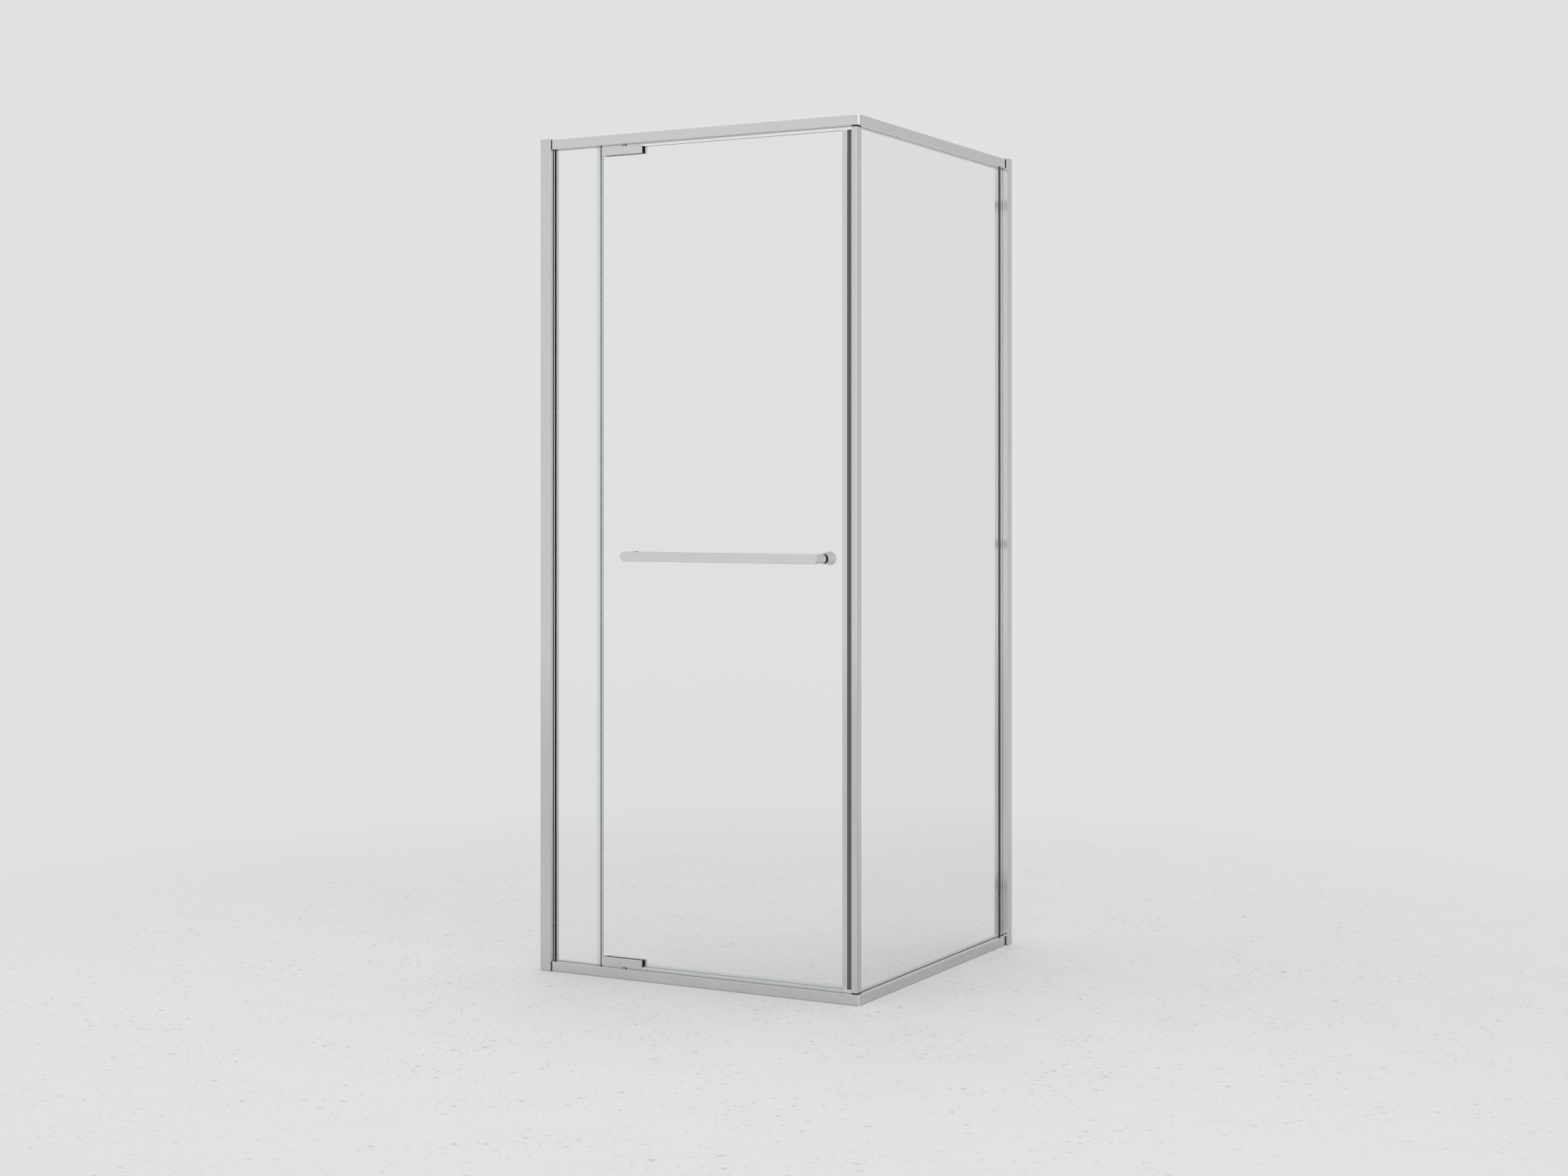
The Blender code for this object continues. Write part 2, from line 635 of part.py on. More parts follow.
def make_post_pad(name, level):
    """Make the pad at one end of the post, with a spigot up the post and a boss in the rails' pocket."""
    heights = sorted(level_height(level, rise) for rise in (POST_PAD_RISE, POST_PAD_RISE + PAD_THICKNESS))
    pad = upright(name, "front", [post_outline()], *heights, FRAME, "black_rubber")
    overlap = PAD_THICKNESS / 2
    spigot_rises = (POST_PAD_RISE + overlap, POST_PAD_RISE + PAD_THICKNESS + PAD_SPIGOT)
    boss_rises = (POCKET_FLOOR + FIT_GAP, POST_PAD_RISE + overlap)
    well = rectangle(POCKET_FRONT + FIT_GAP, POCKET_BACK - FIT_GAP, POCKET_FRONT + FIT_GAP,
                     POCKET_BACK - FIT_GAP)
    parts = (("spigot", post_chamber(FIT_GAP), spigot_rises), ("boss", well, boss_rises))
    for part, outline, rises in parts:
        ends = sorted(level_height(level, rise) for rise in rises)
        join(pad, upright(f"{name}_{part}", "front", [outline], *ends, FRAME))
    return pad


def make_rail_channel(name, run, level, start, end):
    """Make the strip that holds a pane's edge in a rail's pocket, with its inner lip below the rail's."""
    floor = POCKET_FLOOR + FIT_GAP
    inner_lip = RAIL_HEIGHT - INNER_LIP_DROP
    lip = RAIL_HEIGHT
    if run == "return":
        lip += RETURN_CHANNEL_RISE if level == "sill" else -RETURN_HEAD_LIP_DROP
    section = [(POCKET_FRONT + FIT_GAP, floor), (POCKET_BACK - FIT_GAP, floor),
               (POCKET_BACK - FIT_GAP, inner_lip), (GLASS_BACK + FIT_GAP, inner_lip),
               (GLASS_BACK + FIT_GAP, floor + CHANNEL_BASE), (GLASS_INSET - FIT_GAP, floor + CHANNEL_BASE),
               (GLASS_INSET - FIT_GAP, lip), (POCKET_FRONT + FIT_GAP, lip)]
    outline = [(inward, level_height(level, rise)) for inward, rise in section]
    return run_extrusion(name, run, [outline], start, end, FRAME, "black_rubber")


def make_jamb_channel(name, run):
    """Make the strip that holds a pane's edge in a jamb, with an inner flange in the jamb's rebate."""
    base = FIXED_GLASS_END[run] + FIT_GAP
    face = JAMB_FACE[run]
    outer_lip = face + JAMB_LIP + FIT_GAP
    flange = face + JAMB_GASKET_DEPTH - FIT_GAP
    flange_side = JAMB_GASKET_SIDE - FIT_GAP
    outline = [(base + CHANNEL_BASE, POCKET_FRONT + FIT_GAP), (base + CHANNEL_BASE, POCKET_BACK - FIT_GAP),
               (flange, POCKET_BACK - FIT_GAP), (flange, flange_side), (face, flange_side),
               (face, GLASS_BACK + FIT_GAP), (base, GLASS_BACK + FIT_GAP), (base, GLASS_INSET - FIT_GAP),
               (outer_lip, GLASS_INSET - FIT_GAP), (outer_lip, POCKET_FRONT + FIT_GAP)]
    return upright(name, run, [outline], UPRIGHT_LOW, UPRIGHT_HIGH, FRAME, "black_rubber")


def make_infill_seal():
    """Make the clear seal on the infill's free edge, with a nose towards the door."""
    edge = INFILL_EDGE - FIT_GAP
    leg_end = edge + SEAL_LEG
    front = GLASS_INSET - FIT_GAP
    back = GLASS_BACK + FIT_GAP
    nose = edge - SEAL_NOSE
    nose_half = GLASS_THICKNESS * SEAL_NOSE_SHARE / 2
    base = edge - SEAL_BASE
    outline = [(leg_end, front - SEAL_WALL), (leg_end, front), (edge, front), (edge, back), (leg_end, back),
               (leg_end, back + SEAL_WALL), (base, back + SEAL_WALL), (nose, GLASS_MID + nose_half),
               (nose, GLASS_MID - nose_half), (base, front - SEAL_WALL)]
    return upright("infill_edge_seal", "front", [outline], UPRIGHT_LOW, UPRIGHT_HIGH, FRAME, "clear_vinyl")


def make_cover(name, level):
    """Make the strip that closes the front rail's pocket in the doorway, with a hole for the pivot bush."""
    low = POCKET_FLOOR + FIT_GAP
    front = POCKET_FRONT + FIT_GAP
    back = POCKET_BACK - FIT_GAP
    under = RAIL_HEIGHT - COVER_WALL
    section = [(front, low), (front, RAIL_HEIGHT), (back, RAIL_HEIGHT), (back, low),
               (back - COVER_WALL, low), (back - COVER_WALL, under), (front + COVER_WALL, under),
               (front + COVER_WALL, low)]
    outline = [(inward, level_height(level, rise)) for inward, rise in section]
    cover = run_extrusion(name, "front", [outline], POCKET_BACK, INFILL_EDGE - FIT_GAP, FRAME,
                          "bright_aluminium")
    ends = [(-PIVOT_ALONG, GLASS_MID, level_height(level, rise))
            for rise in (low - OVERRUN, RAIL_HEIGHT + OVERRUN)]
    return cut(cover, rod(name + "_bush_hole", *ends, BUSH_RADIUS + FIT_GAP, FRAME))


def make_bush(name, level):
    """Make the pivot bush that stands in a rail's pocket with its collar on the rail."""
    start = POCKET_FLOOR + FIT_GAP
    collar = RAIL_HEIGHT + FIT_GAP - start
    top = collar + BUSH_COLLAR
    bore = PIN_TIP_RADIUS + FIT_GAP
    bore_floor = top - PIN_TIP
    profile = [(0, bore_floor), (bore, bore_floor), (bore, top), (BUSH_COLLAR_RADIUS - BUSH_CHAMFER, top),
               (BUSH_COLLAR_RADIUS, top - BUSH_CHAMFER), (BUSH_COLLAR_RADIUS, collar), (BUSH_RADIUS, collar),
               (BUSH_RADIUS, 0), (0, 0)]
    direction = (0, 0, 1 if level == "sill" else -1)
    place = (-PIVOT_ALONG, GLASS_MID, level_height(level, start))
    return turned(name, profile, place, direction, FRAME, "steel", PIN_STEPS)


def make_pin(name, level):
    """Make the pivot pin: a tip in the bush, a shoulder between bush and block, a shank in the block."""
    collar_top = RAIL_HEIGHT + FIT_GAP + BUSH_COLLAR
    start = collar_top - PIN_TIP + 2 * FIT_GAP
    shoulder = collar_top + FIT_GAP - start
    block_face = HINGE_START - FIT_GAP - start
    top = block_face + PIN_SHANK
    profile = [(0, top), (PIN_SHANK_RADIUS, top), (PIN_SHANK_RADIUS, block_face),
               (PIN_SHOULDER_RADIUS, block_face), (PIN_SHOULDER_RADIUS, shoulder),
               (PIN_TIP_RADIUS, shoulder), (PIN_TIP_RADIUS, 0), (0, 0)]
    direction = (0, 0, 1 if level == "sill" else -1)
    place = (-PIVOT_ALONG, GLASS_MID, level_height(level, start))
    return turned(name, profile, place, direction, DOOR, "steel", PIN_STEPS)


def hinge_box(level, ends, rises, depths):
    """Two corners of a box between two places along the door."""
    return [(end, depth, level_height(level, rise)) for end, depth, rise in zip(ends, depths, rises)]


def screw_places(level):
    """Plan position and height of the two screws of a hinge block."""
    height = level_height(level, HINGE_MID)
    return {"left": (-PIVOT_ALONG - HINGE_SCREW_SPREAD, height),
            "right": (-PIVOT_ALONG + HINGE_SCREW_SPREAD, height)}


def make_hinge(level, place):
    """Make one hinge block: outer plate with its boss, inner plate, two gaskets, two screws and the pin."""
    rises = (HINGE_START, HINGE_START + HINGE_HEIGHT)
    boss_rises = (HINGE_START, HINGE_START + HINGE_BOSS_HEIGHT)
    outer = block(f"hinge_{place}_outer_plate",
                  *hinge_box(level, HINGE_ENDS, rises, (PLATE_FRONT, PLATE_BACK)), DOOR, "chrome")
    soften(outer, HINGE_EDGE)
    boss = block(f"hinge_{place}_boss", *hinge_box(level, BOSS_ENDS, boss_rises,
                 (PLATE_BACK - OVERRUN, INNER_PLATE_FRONT - FIT_GAP)), DOOR)
    join(outer, boss)
    far_top = level_height(level, rises[1])
    far_bottom = level_height(level, rises[0])
    section = fillet([(INNER_PLATE_FRONT, far_bottom, 0), (INNER_PLATE_BACK, far_bottom, 0),
                      (INNER_PLATE_BACK, far_top, HINGE_INNER_ROUND), (INNER_PLATE_FRONT, far_top, 0)],
                     ROUND_STEPS)
    inner = extrusion(f"hinge_{place}_inner_plate", [section], *HINGE_ENDS, "X", DOOR, "chrome")
    soften(inner, HINGE_EDGE)
    pin_ends = [(-PIVOT_ALONG, GLASS_MID, level_height(level, rise))
                for rise in (HINGE_START - OVERRUN, HINGE_START + PIN_SHANK)]
    cut(outer, rod(f"hinge_{place}_pin_hole", *pin_ends, PIN_SHANK_RADIUS + FIT_GAP, DOOR))
    tip = INNER_PLATE_BACK - HINGE_SCREW_LENGTH
    for side, (x, height) in screw_places(level).items():
        hole_radius = HINGE_SCREW_RADIUS + FIT_GAP
        hole = rod(f"hinge_{place}_screw_hole_{side}", (x, tip - FIT_GAP, height),
                   (x, INNER_PLATE_BACK + OVERRUN, height), hole_radius, DOOR)
        cut(outer, hole)
        cut(inner, hole)
        seat = rod(f"hinge_{place}_screw_seat_{side}",
                   (x, INNER_PLATE_BACK - HINGE_SCREW_HEAD - FIT_GAP, height),
                   (x, INNER_PLATE_BACK + OVERRUN, height), HINGE_SCREW_HEAD_RADIUS + FIT_GAP, DOOR)
        cut(inner, seat)
        profile = [(0, HINGE_SCREW_LENGTH), (HINGE_SCREW_RADIUS, HINGE_SCREW_LENGTH),
                   (HINGE_SCREW_RADIUS, HINGE_SCREW_HEAD), (HINGE_SCREW_HEAD_RADIUS, HINGE_SCREW_HEAD),
                   (HINGE_SCREW_HEAD_RADIUS, 0), (0, 0)]
        turned(f"hinge_{place}_screw_{side}", profile, (x, INNER_PLATE_BACK, height), (0, -1, 0), DOOR,
               "steel", PIN_STEPS)
    outer_outline = gasket_outline(level, HINGE_GASKET_END, HINGE_GASKET_TOP)
    extrusion(f"hinge_{place}_outer_gasket", [outer_outline], PLATE_BACK + FIT_GAP, GLASS_INSET - FIT_GAP,
              "Y", DOOR, "black_rubber")
    inner_outline = gasket_outline(level, -HINGE_INNER_GASKET_INSET, -HINGE_EDGE)
    extrusion(f"hinge_{place}_inner_gasket", [inner_outline], GLASS_BACK + FIT_GAP,
              INNER_PLATE_FRONT - FIT_GAP, "Y", DOOR, "grey_nylon")
    make_pin(f"pivot_pin_{place}", level)


def notch_outline(level, gap, radius=0):
    """Corners of the notch for the hinge boss, as (x, height, radius), from the hinge side on."""
    half = HINGE_BOSS_LENGTH / 2 + gap
    top = HINGE_START + HINGE_BOSS_HEIGHT + gap
    return [(-PIVOT_ALONG - half, level_height(level, DOOR_LOW), 0),
            (-PIVOT_ALONG - half, level_height(level, top), radius),
            (-PIVOT_ALONG + half, level_height(level, top), radius),
            (-PIVOT_ALONG + half, level_height(level, DOOR_LOW), 0)]


def gasket_outline(level, past_end, past_top):
    """Outline of a hinge gasket that reaches past the plate's far end and its top by given distances."""
    near = HINGE_ENDS[0]
    far = HINGE_ENDS[1] + past_end
    edge = level_height(level, DOOR_LOW)
    top = level_height(level, HINGE_START + HINGE_HEIGHT + past_top)
    return fillet([(near, top, 0), (near, edge, 0), *notch_outline(level, FIT_GAP), (far, edge, 0),
                   (far, top, 0)])


def make_door_glass():
    """Make the door pane with its notches for the hinge bosses and its holes for the handle."""
    hinge_side = -DOOR_HINGE_EDGE
    closing_side = -DOOR_CLOSING_EDGE
    sill_notch = notch_outline("sill", NOTCH_CLEARANCE, NOTCH_RADIUS)
    head_notch = notch_outline("head", NOTCH_CLEARANCE, NOTCH_RADIUS)
    corners = [(hinge_side, DOOR_LOW, 0), *sill_notch, (closing_side, DOOR_LOW, 0),
               (closing_side, DOOR_HIGH, 0), *reversed(head_notch), (hinge_side, DOOR_HIGH, 0)]
    holes = [circle(-along, HANDLE_HEIGHT, HANDLE_HOLE_RADIUS) for along in HANDLE_POSTS.values()]
    return extrusion("door_glass", [fillet(corners), *holes], GLASS_INSET, GLASS_BACK, "Y", DOOR,
                     "clear_glass")


def make_pane(name, run, start, end):
    """Make a fixed pane that stands in the rails' pockets and in its jamb."""
    outline = rectangle(GLASS_INSET, GLASS_BACK, FIXED_GLASS_LOW, FIXED_GLASS_HIGH)
    return run_extrusion(name, run, [outline], start, end, FRAME, "clear_glass")


def make_stile():
    """Make the door's closing stile, a channel on the edge of the glass."""
    web = STILE_CLOSING + STILE_WEB
    front = GLASS_INSET - FIT_GAP
    back = GLASS_BACK + FIT_GAP
    outline = fillet([(STILE_HINGE_SIDE, STILE_FRONT, STILE_RADIUS),
                      (STILE_CLOSING, STILE_FRONT, STILE_RADIUS), (STILE_CLOSING, STILE_BACK, STILE_RADIUS),
                      (STILE_HINGE_SIDE, STILE_BACK, STILE_RADIUS), (STILE_HINGE_SIDE, back, 0),
                      (web, back, 0), (web, front, 0), (STILE_HINGE_SIDE, front, 0)])
    return upright("door_stile", "front", [outline], DOOR_LOW, DOOR_HIGH, DOOR, "chrome")


def make_magnet(name, start, width, thickness, carrier):
    """Make a magnetic strip whose closing face looks along the front."""
    outline = rectangle(start, start + width, GLASS_MID - thickness / 2, GLASS_MID + thickness / 2,
                        MAGNET_RADIUS)
    return upright(name, "front", [outline], DOOR_LOW, DOOR_HIGH, carrier, "magnet_strip")


def make_drip_seal():
    """Make the clear seal on the door's bottom edge, with a vane that hangs over the sill."""
    front = GLASS_INSET - FIT_GAP
    back = GLASS_BACK + FIT_GAP
    floor = DOOR_LOW - FIT_GAP
    base = floor - DRIP_BASE
    top = base + SEAL_WALL + DRIP_LEG
    vane = base - DRIP_VANE_DROP
    lean = GLASS_MID - DRIP_VANE_LEAN
    half = SEAL_WALL / 2
    section = [(front - SEAL_WALL, top), (front - SEAL_WALL, base), (GLASS_MID - half, base),
               (lean - half, vane), (lean + half, vane), (GLASS_MID + half, base), (back + SEAL_WALL, base),
               (back + SEAL_WALL, top), (back, top), (back, floor), (front, floor), (front, top)]
    start = STILE_HINGE_SIDE + FIT_GAP
    end = -HINGE_ENDS[1] - HINGE_GASKET_END - FIT_GAP
    return run_extrusion("door_drip_seal", "front", [section], start, end, DOOR, "clear_vinyl")


def make_handle_bar():
    """Make the flat bar with round ends, bored from behind for its two studs."""
    outline = []
    for along, start in ((HANDLE_POSTS["right"], -QUARTER_TURN), (HANDLE_POSTS["left"], QUARTER_TURN)):
        for step in range(BAR_END_STEPS + 1):
            turn = start + HALF_TURN * step / BAR_END_STEPS
            outline.append((-along + HANDLE_BAR_RADIUS * math.cos(turn),
                            HANDLE_HEIGHT + HANDLE_BAR_RADIUS * math.sin(turn)))
    bar = extrusion("handle_bar", [outline], HANDLE_FRONT, BAR_BACK, "Y", DOOR, "chrome")
    soften(bar, HANDLE_EDGE)
    for side, along in HANDLE_POSTS.items():
        start = (-along, STUD_START - FIT_GAP, HANDLE_HEIGHT)
        end = (-along, BAR_BACK + OVERRUN, HANDLE_HEIGHT)
        cut(bar, rod(f"handle_bar_bore_{side}", start, end, HANDLE_STUD_RADIUS + FIT_GAP, DOOR))
    return bar


def make_handle_fixing(side, knob_name, knob_profile, stud_entry):
    """Make a handle post, its washers, its stud and the knob or cap on the inside."""
    bore = HANDLE_STUD_RADIUS + FIT_GAP
    inward = (0, 1, 0)

    def place(distance):
        return (-HANDLE_POSTS[side], distance, HANDLE_HEIGHT)

    def ring(name, start, end, radius, finish):
        length = end - start
        profile = [(bore, length), (radius, length), (radius, 0), (bore, 0)]
        return turned(name, profile, place(start), inward, DOOR, finish)

    ring(f"handle_post_{side}", BAR_BACK + FIT_GAP, OUTER_WASHER_FRONT - FIT_GAP, HANDLE_BAR_RADIUS,
         "chrome")
    sleeve_end = HANDLE_WASHER + GLASS_THICKNESS
    sleeve = HANDLE_HOLE_RADIUS - FIT_GAP
    profile = [(bore, sleeve_end), (sleeve, sleeve_end), (sleeve, HANDLE_WASHER),
               (HANDLE_WASHER_RADIUS, HANDLE_WASHER), (HANDLE_WASHER_RADIUS, 0), (bore, 0)]
    turned(f"handle_outer_washer_{side}", profile, place(OUTER_WASHER_FRONT), inward, DOOR, "black_rubber")
    ring(f"handle_inner_washer_{side}", INNER_WASHER_FRONT, INNER_WASHER_BACK, HANDLE_WASHER_RADIUS,
         "black_rubber")
    turned(knob_name, knob_profile, place(KNOB_START), inward, DOOR, "chrome")
    rod(f"handle_stud_{side}", place(STUD_START), place(KNOB_START + stud_entry), HANDLE_STUD_RADIUS, DOOR,
        "steel")


def make_handle():
    """Make the handle: bar, two posts with their fixings, a flared knob and a small cap inside."""
    bore = HANDLE_STUD_RADIUS + FIT_GAP
    knob_bore = KNOB_STUD_ENTRY + FIT_GAP
    cap_bore = CAP_STUD_ENTRY + FIT_GAP
    knob = [(0, KNOB_LENGTH), (KNOB_RADIUS - KNOB_EDGE, KNOB_LENGTH), (KNOB_RADIUS, KNOB_LENGTH - KNOB_EDGE),
            (HANDLE_WASHER_RADIUS, 0), (bore, 0), (bore, knob_bore), (0, knob_bore)]
    cap = [(0, CAP_LENGTH), (CAP_RADIUS - KNOB_EDGE, CAP_LENGTH), (CAP_RADIUS, CAP_LENGTH - KNOB_EDGE),
           (CAP_RADIUS, 0), (bore, 0), (bore, cap_bore), (0, cap_bore)]
    make_handle_bar()
    make_handle_fixing("right", "handle_inner_knob", knob, KNOB_STUD_ENTRY)
    make_handle_fixing("left", "handle_inner_cap", cap, CAP_STUD_ENTRY)


def make_frame():
    """Make everything that stays fixed to the walls and the floor."""
    for run in ("front", "return"):
        make_jamb(f"wall_jamb_{run}", run)
        make_rail(f"sill_rail_{run}", run, "sill")
        make_rail(f"top_rail_{run}", run, "head")
        make_end_plug(f"sill_end_plug_{run}", run, "sill")
        make_end_plug(f"top_end_plug_{run}", run, "head")
        make_jamb_channel(f"jamb_glazing_channel_{run}", run)
        start = INFILL_EDGE if run == "front" else POST_BACK + FIT_GAP
        for level, name in (("sill", "sill"), ("head", "top")):
            make_rail_channel(f"{name}_glazing_channel_{run}", run, level, start, PLUG_START[run])
    make_corner_key("corner_key_sill", "sill")
    make_corner_key("corner_key_top", "head")
    make_corner_post()
    make_post_pad("post_foot", "sill")
    make_post_pad("post_head", "head")
    strip = rectangle(-GLASS_BACK - FIT_GAP, -POST_DOOR_SIDE + POST_LEG_THICKNESS + FIT_GAP,
                      RETURN_GLASS_START, POST_BACK)
    extrusion("post_glazing_strip", [strip], UPRIGHT_LOW, UPRIGHT_HIGH, "Z", FRAME, "clear_vinyl")
    make_magnet("post_magnet", POST_DOOR_SIDE + FIT_GAP, POST_MAGNET_WIDTH, POST_MAGNET_THICKNESS, FRAME)
    make_pane("infill_glass", "front", INFILL_EDGE, FIXED_GLASS_END["front"])
    make_pane("return_glass", "return", RETURN_GLASS_START, FIXED_GLASS_END["return"])
    make_infill_seal()
    for level, rail, place in (("sill", "sill", "bottom"), ("head", "top", "top")):
        make_cover(f"{rail}_pocket_cover", level)
        make_bush(f"pivot_bush_{place}", level)


def make_door():
    """Make everything that turns about the pivot."""
    make_door_glass()
    make_stile()
    make_magnet("door_magnet", STILE_CLOSING - FIT_GAP - MAGNET_WIDTH, MAGNET_WIDTH, MAGNET_THICKNESS, DOOR)
    make_drip_seal()
    make_hinge("sill", "bottom")
    make_hinge("head", "top")
    make_handle()


clear_scene()
PARTS = make_collection("shower_enclosure")
CUTTERS = make_collection("cutters")
FRAME = make_empty("frame", ORIGIN)
DOOR = make_empty("door_pivot", PIVOT, FRAME)
make_frame()
make_door()
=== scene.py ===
"""Finished surfaces of a framed corner shower enclosure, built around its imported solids.

Each operator makes one group of pieces. The solids give every place and size that another piece meets, and
the property groups hold what a user would change: edge radii, polish, colours, lamps and the camera.
"""
import json
import math

import bmesh
import bpy
from bpy.props import FloatProperty, FloatVectorProperty, IntProperty, PointerProperty
from bpy.types import Operator, Panel, PropertyGroup
from mathutils import Matrix, Vector

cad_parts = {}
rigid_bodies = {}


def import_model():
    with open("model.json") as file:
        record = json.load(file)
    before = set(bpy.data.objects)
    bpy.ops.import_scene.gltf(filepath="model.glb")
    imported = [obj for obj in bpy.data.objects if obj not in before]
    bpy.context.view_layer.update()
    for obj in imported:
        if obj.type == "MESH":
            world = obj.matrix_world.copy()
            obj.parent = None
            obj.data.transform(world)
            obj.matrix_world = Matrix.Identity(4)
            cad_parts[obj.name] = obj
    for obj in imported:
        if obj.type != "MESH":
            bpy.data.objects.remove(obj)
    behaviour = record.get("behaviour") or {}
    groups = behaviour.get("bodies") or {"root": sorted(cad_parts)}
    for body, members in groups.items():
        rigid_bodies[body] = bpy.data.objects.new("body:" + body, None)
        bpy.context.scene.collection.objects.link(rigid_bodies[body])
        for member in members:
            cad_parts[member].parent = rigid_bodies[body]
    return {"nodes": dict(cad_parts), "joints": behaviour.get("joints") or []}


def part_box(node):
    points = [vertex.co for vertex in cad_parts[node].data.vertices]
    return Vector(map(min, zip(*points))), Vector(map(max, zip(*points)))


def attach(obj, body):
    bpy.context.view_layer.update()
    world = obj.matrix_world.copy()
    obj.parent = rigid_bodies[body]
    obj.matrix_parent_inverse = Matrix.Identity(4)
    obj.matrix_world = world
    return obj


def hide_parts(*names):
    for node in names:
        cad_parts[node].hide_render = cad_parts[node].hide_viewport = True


bl_info = {
    "name": "Corner Shower Enclosure",
    "version": (1, 0, 0),
    "blender": (4, 5, 0),
    "location": "View3D > Sidebar > Enclosure",
    "description": "Builds the finished surfaces of a corner shower enclosure around its solids",
    "category": "Add Mesh",
}

for startup_object in list(bpy.data.objects):
    bpy.data.objects.remove(startup_object, do_unlink=True)
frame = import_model()

# The outer corner of the rails, from which both runs are measured
CORNER = Vector((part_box("sill_rail_return")[1].x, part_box("sill_rail_front")[0].y, 0.0))
PIVOT = Vector(frame["joints"][0]["pos_m"])
PHOTO_SIZE = Vector((2212, 1659))
FULL_TURN = 2 * math.pi
QUARTER_TURN = math.pi / 2
AXES = {"X": Vector((1, 0, 0)), "Y": Vector((0, 1, 0)), "Z": Vector((0, 0, 1))}
RUN_AXIS = {"front": "X", "return": "Y"}

# Dot product from which a face or an edge points in a direction
FACING = 0.99
# Distances in metres under which points are one, and under which a point lies on a line
SAME_POINT = 0.000001
ON_LINE = 0.00001
# Angle between two faces from which their edge is sharp
SHARP_ANGLE = math.radians(40)
# Facets across the smallest edges, the notches' corners, the hinge's large round and the bar's ends
FINE_SEGMENTS = 2
NOTCH_SEGMENTS = 5
PLATE_SEGMENTS = 10
BAR_SEGMENTS = 20
# Facets round a screw's head, its socket and the floor, and steps across the knob's softened end
SCREW_SEGMENTS = 36
HEXAGON = 6
FLOOR_SEGMENTS = 96
ARC_STEPS = 4
# Share of the bar's half height that its ends are rounded by, so that the rounds don't meet
END_ROUND_SHARE = 0.9999

# How far the floor lies under the sills, in metres
FLOOR_DROP = 0.0005
# Direction of the brighter surroundings, at the right front
BRIGHT_SIDE = (0.6, -0.8, 0.0)
# Place, size and aim of each lamp, in metres
LAMPS = {
    "strip": ((3.95, -2.35, 2.80), (1.9, 0.6), (0.43, -0.41, 2.0)),
    "top": ((0.3, -0.2, 4.2), (3.0, 3.0), (0.0, 0.0, 1.0)),
}


def length_property(name, description, default):
    """A length that the user can set."""
    return FloatProperty(name=name, description=description, default=default, unit="LENGTH")


def share_property(name, description, default):
    """A share from 0 to 1 that the user can set."""
    return FloatProperty(name=name, description=description, default=default, subtype="FACTOR")


def colour_property(name, description, default):
    """A colour that the user can set."""
    return FloatVectorProperty(name=name, description=description, default=default, subtype="COLOR")


class EnclosureSizes(PropertyGroup):
    """Small sizes that the finished surfaces add to the solids."""

    fit_gap: length_property("Fit gap", "Clearance between pieces that touch", 0.0003)
    rail_edge: length_property("Rail edge", "Radius on the long outer edges of the rails", 0.0009)
    rail_lip_edge: length_property(
        "Rail lip edge", "Radius on the edges of the rails' glazing pocket", 0.0003)
    rail_pocket_depth: length_property("Pocket depth", "Depth of the rails' glazing pocket", 0.014)
    corner_cut: length_property(
        "Corner cut", "How far the flat on the rails' outer corner reaches along each rail", 0.0023)
    mitre_gap: length_property("Mitre gap", "Half of the joint between two mitred rails", 0.00008)
    arris: length_property("Glass arris", "Polished chamfer round each pane", 0.0006)
    notch_half: length_property(
        "Notch half width", "Half width of the notch in the door pane at each hinge", 0.018)
    notch_depth: length_property("Notch depth", "Depth of the notch in the door pane at each hinge", 0.0153)
    notch_radius: length_property("Notch radius", "Radius in the corners of each notch", 0.003)
    handle_hole: length_property(
        "Handle hole", "Radius of the holes in the door pane for the handle", 0.007)
    plate_edge: length_property("Hinge edge", "Radius on the edges of the hinge plates", 0.0007)
    plate_round: length_property(
        "Hinge round", "Large radius on the free edge of the hinge's inner plate", 0.0045)
    boss_length: length_property("Boss length", "Length of the hinge boss in the glass notch", 0.033)
    boss_height: length_property("Boss height", "Height of the hinge boss in the glass notch", 0.016)
    handle_edge: length_property("Handle edge", "Radius on the edges of the handle", 0.0009)
    stud_bore: length_property("Stud bore", "Radius of the bores round the handle's studs", 0.0043)
    knob_foot: length_property("Knob foot", "Radius of the inner knob at the glass", 0.0115)
    cap_foot: length_property("Cap foot", "Radius of the inner cap at the glass", 0.011)
    tape_height: length_property("Tape height", "Height of the pale tape behind the fixed panes", 0.0027)
    outer_tape_height: length_property(
        "Outer tape height", "Height of the pale tape in front of the return pane's top", 0.0008)
    bead_width: length_property("Bead width", "Width of the dark bead beside the pocket covers", 0.0017)
    bead_height: length_property("Bead height", "Height of the dark bead beside the pocket covers", 0.00025)
    socket_radius: length_property(
        "Screw socket", "Radius of the hexagonal socket in the hinge screws", 0.0023)
    socket_depth: length_property(
        "Screw socket depth", "Depth of the hexagonal socket in the hinge screws", 0.0015)
    turned_segments: IntProperty(
        name="Turned segments", description="Facets round a turned piece", default=64, min=12)
    edge_segments: IntProperty(
        name="Edge segments", description="Facets across a rounded edge", default=3, min=1)


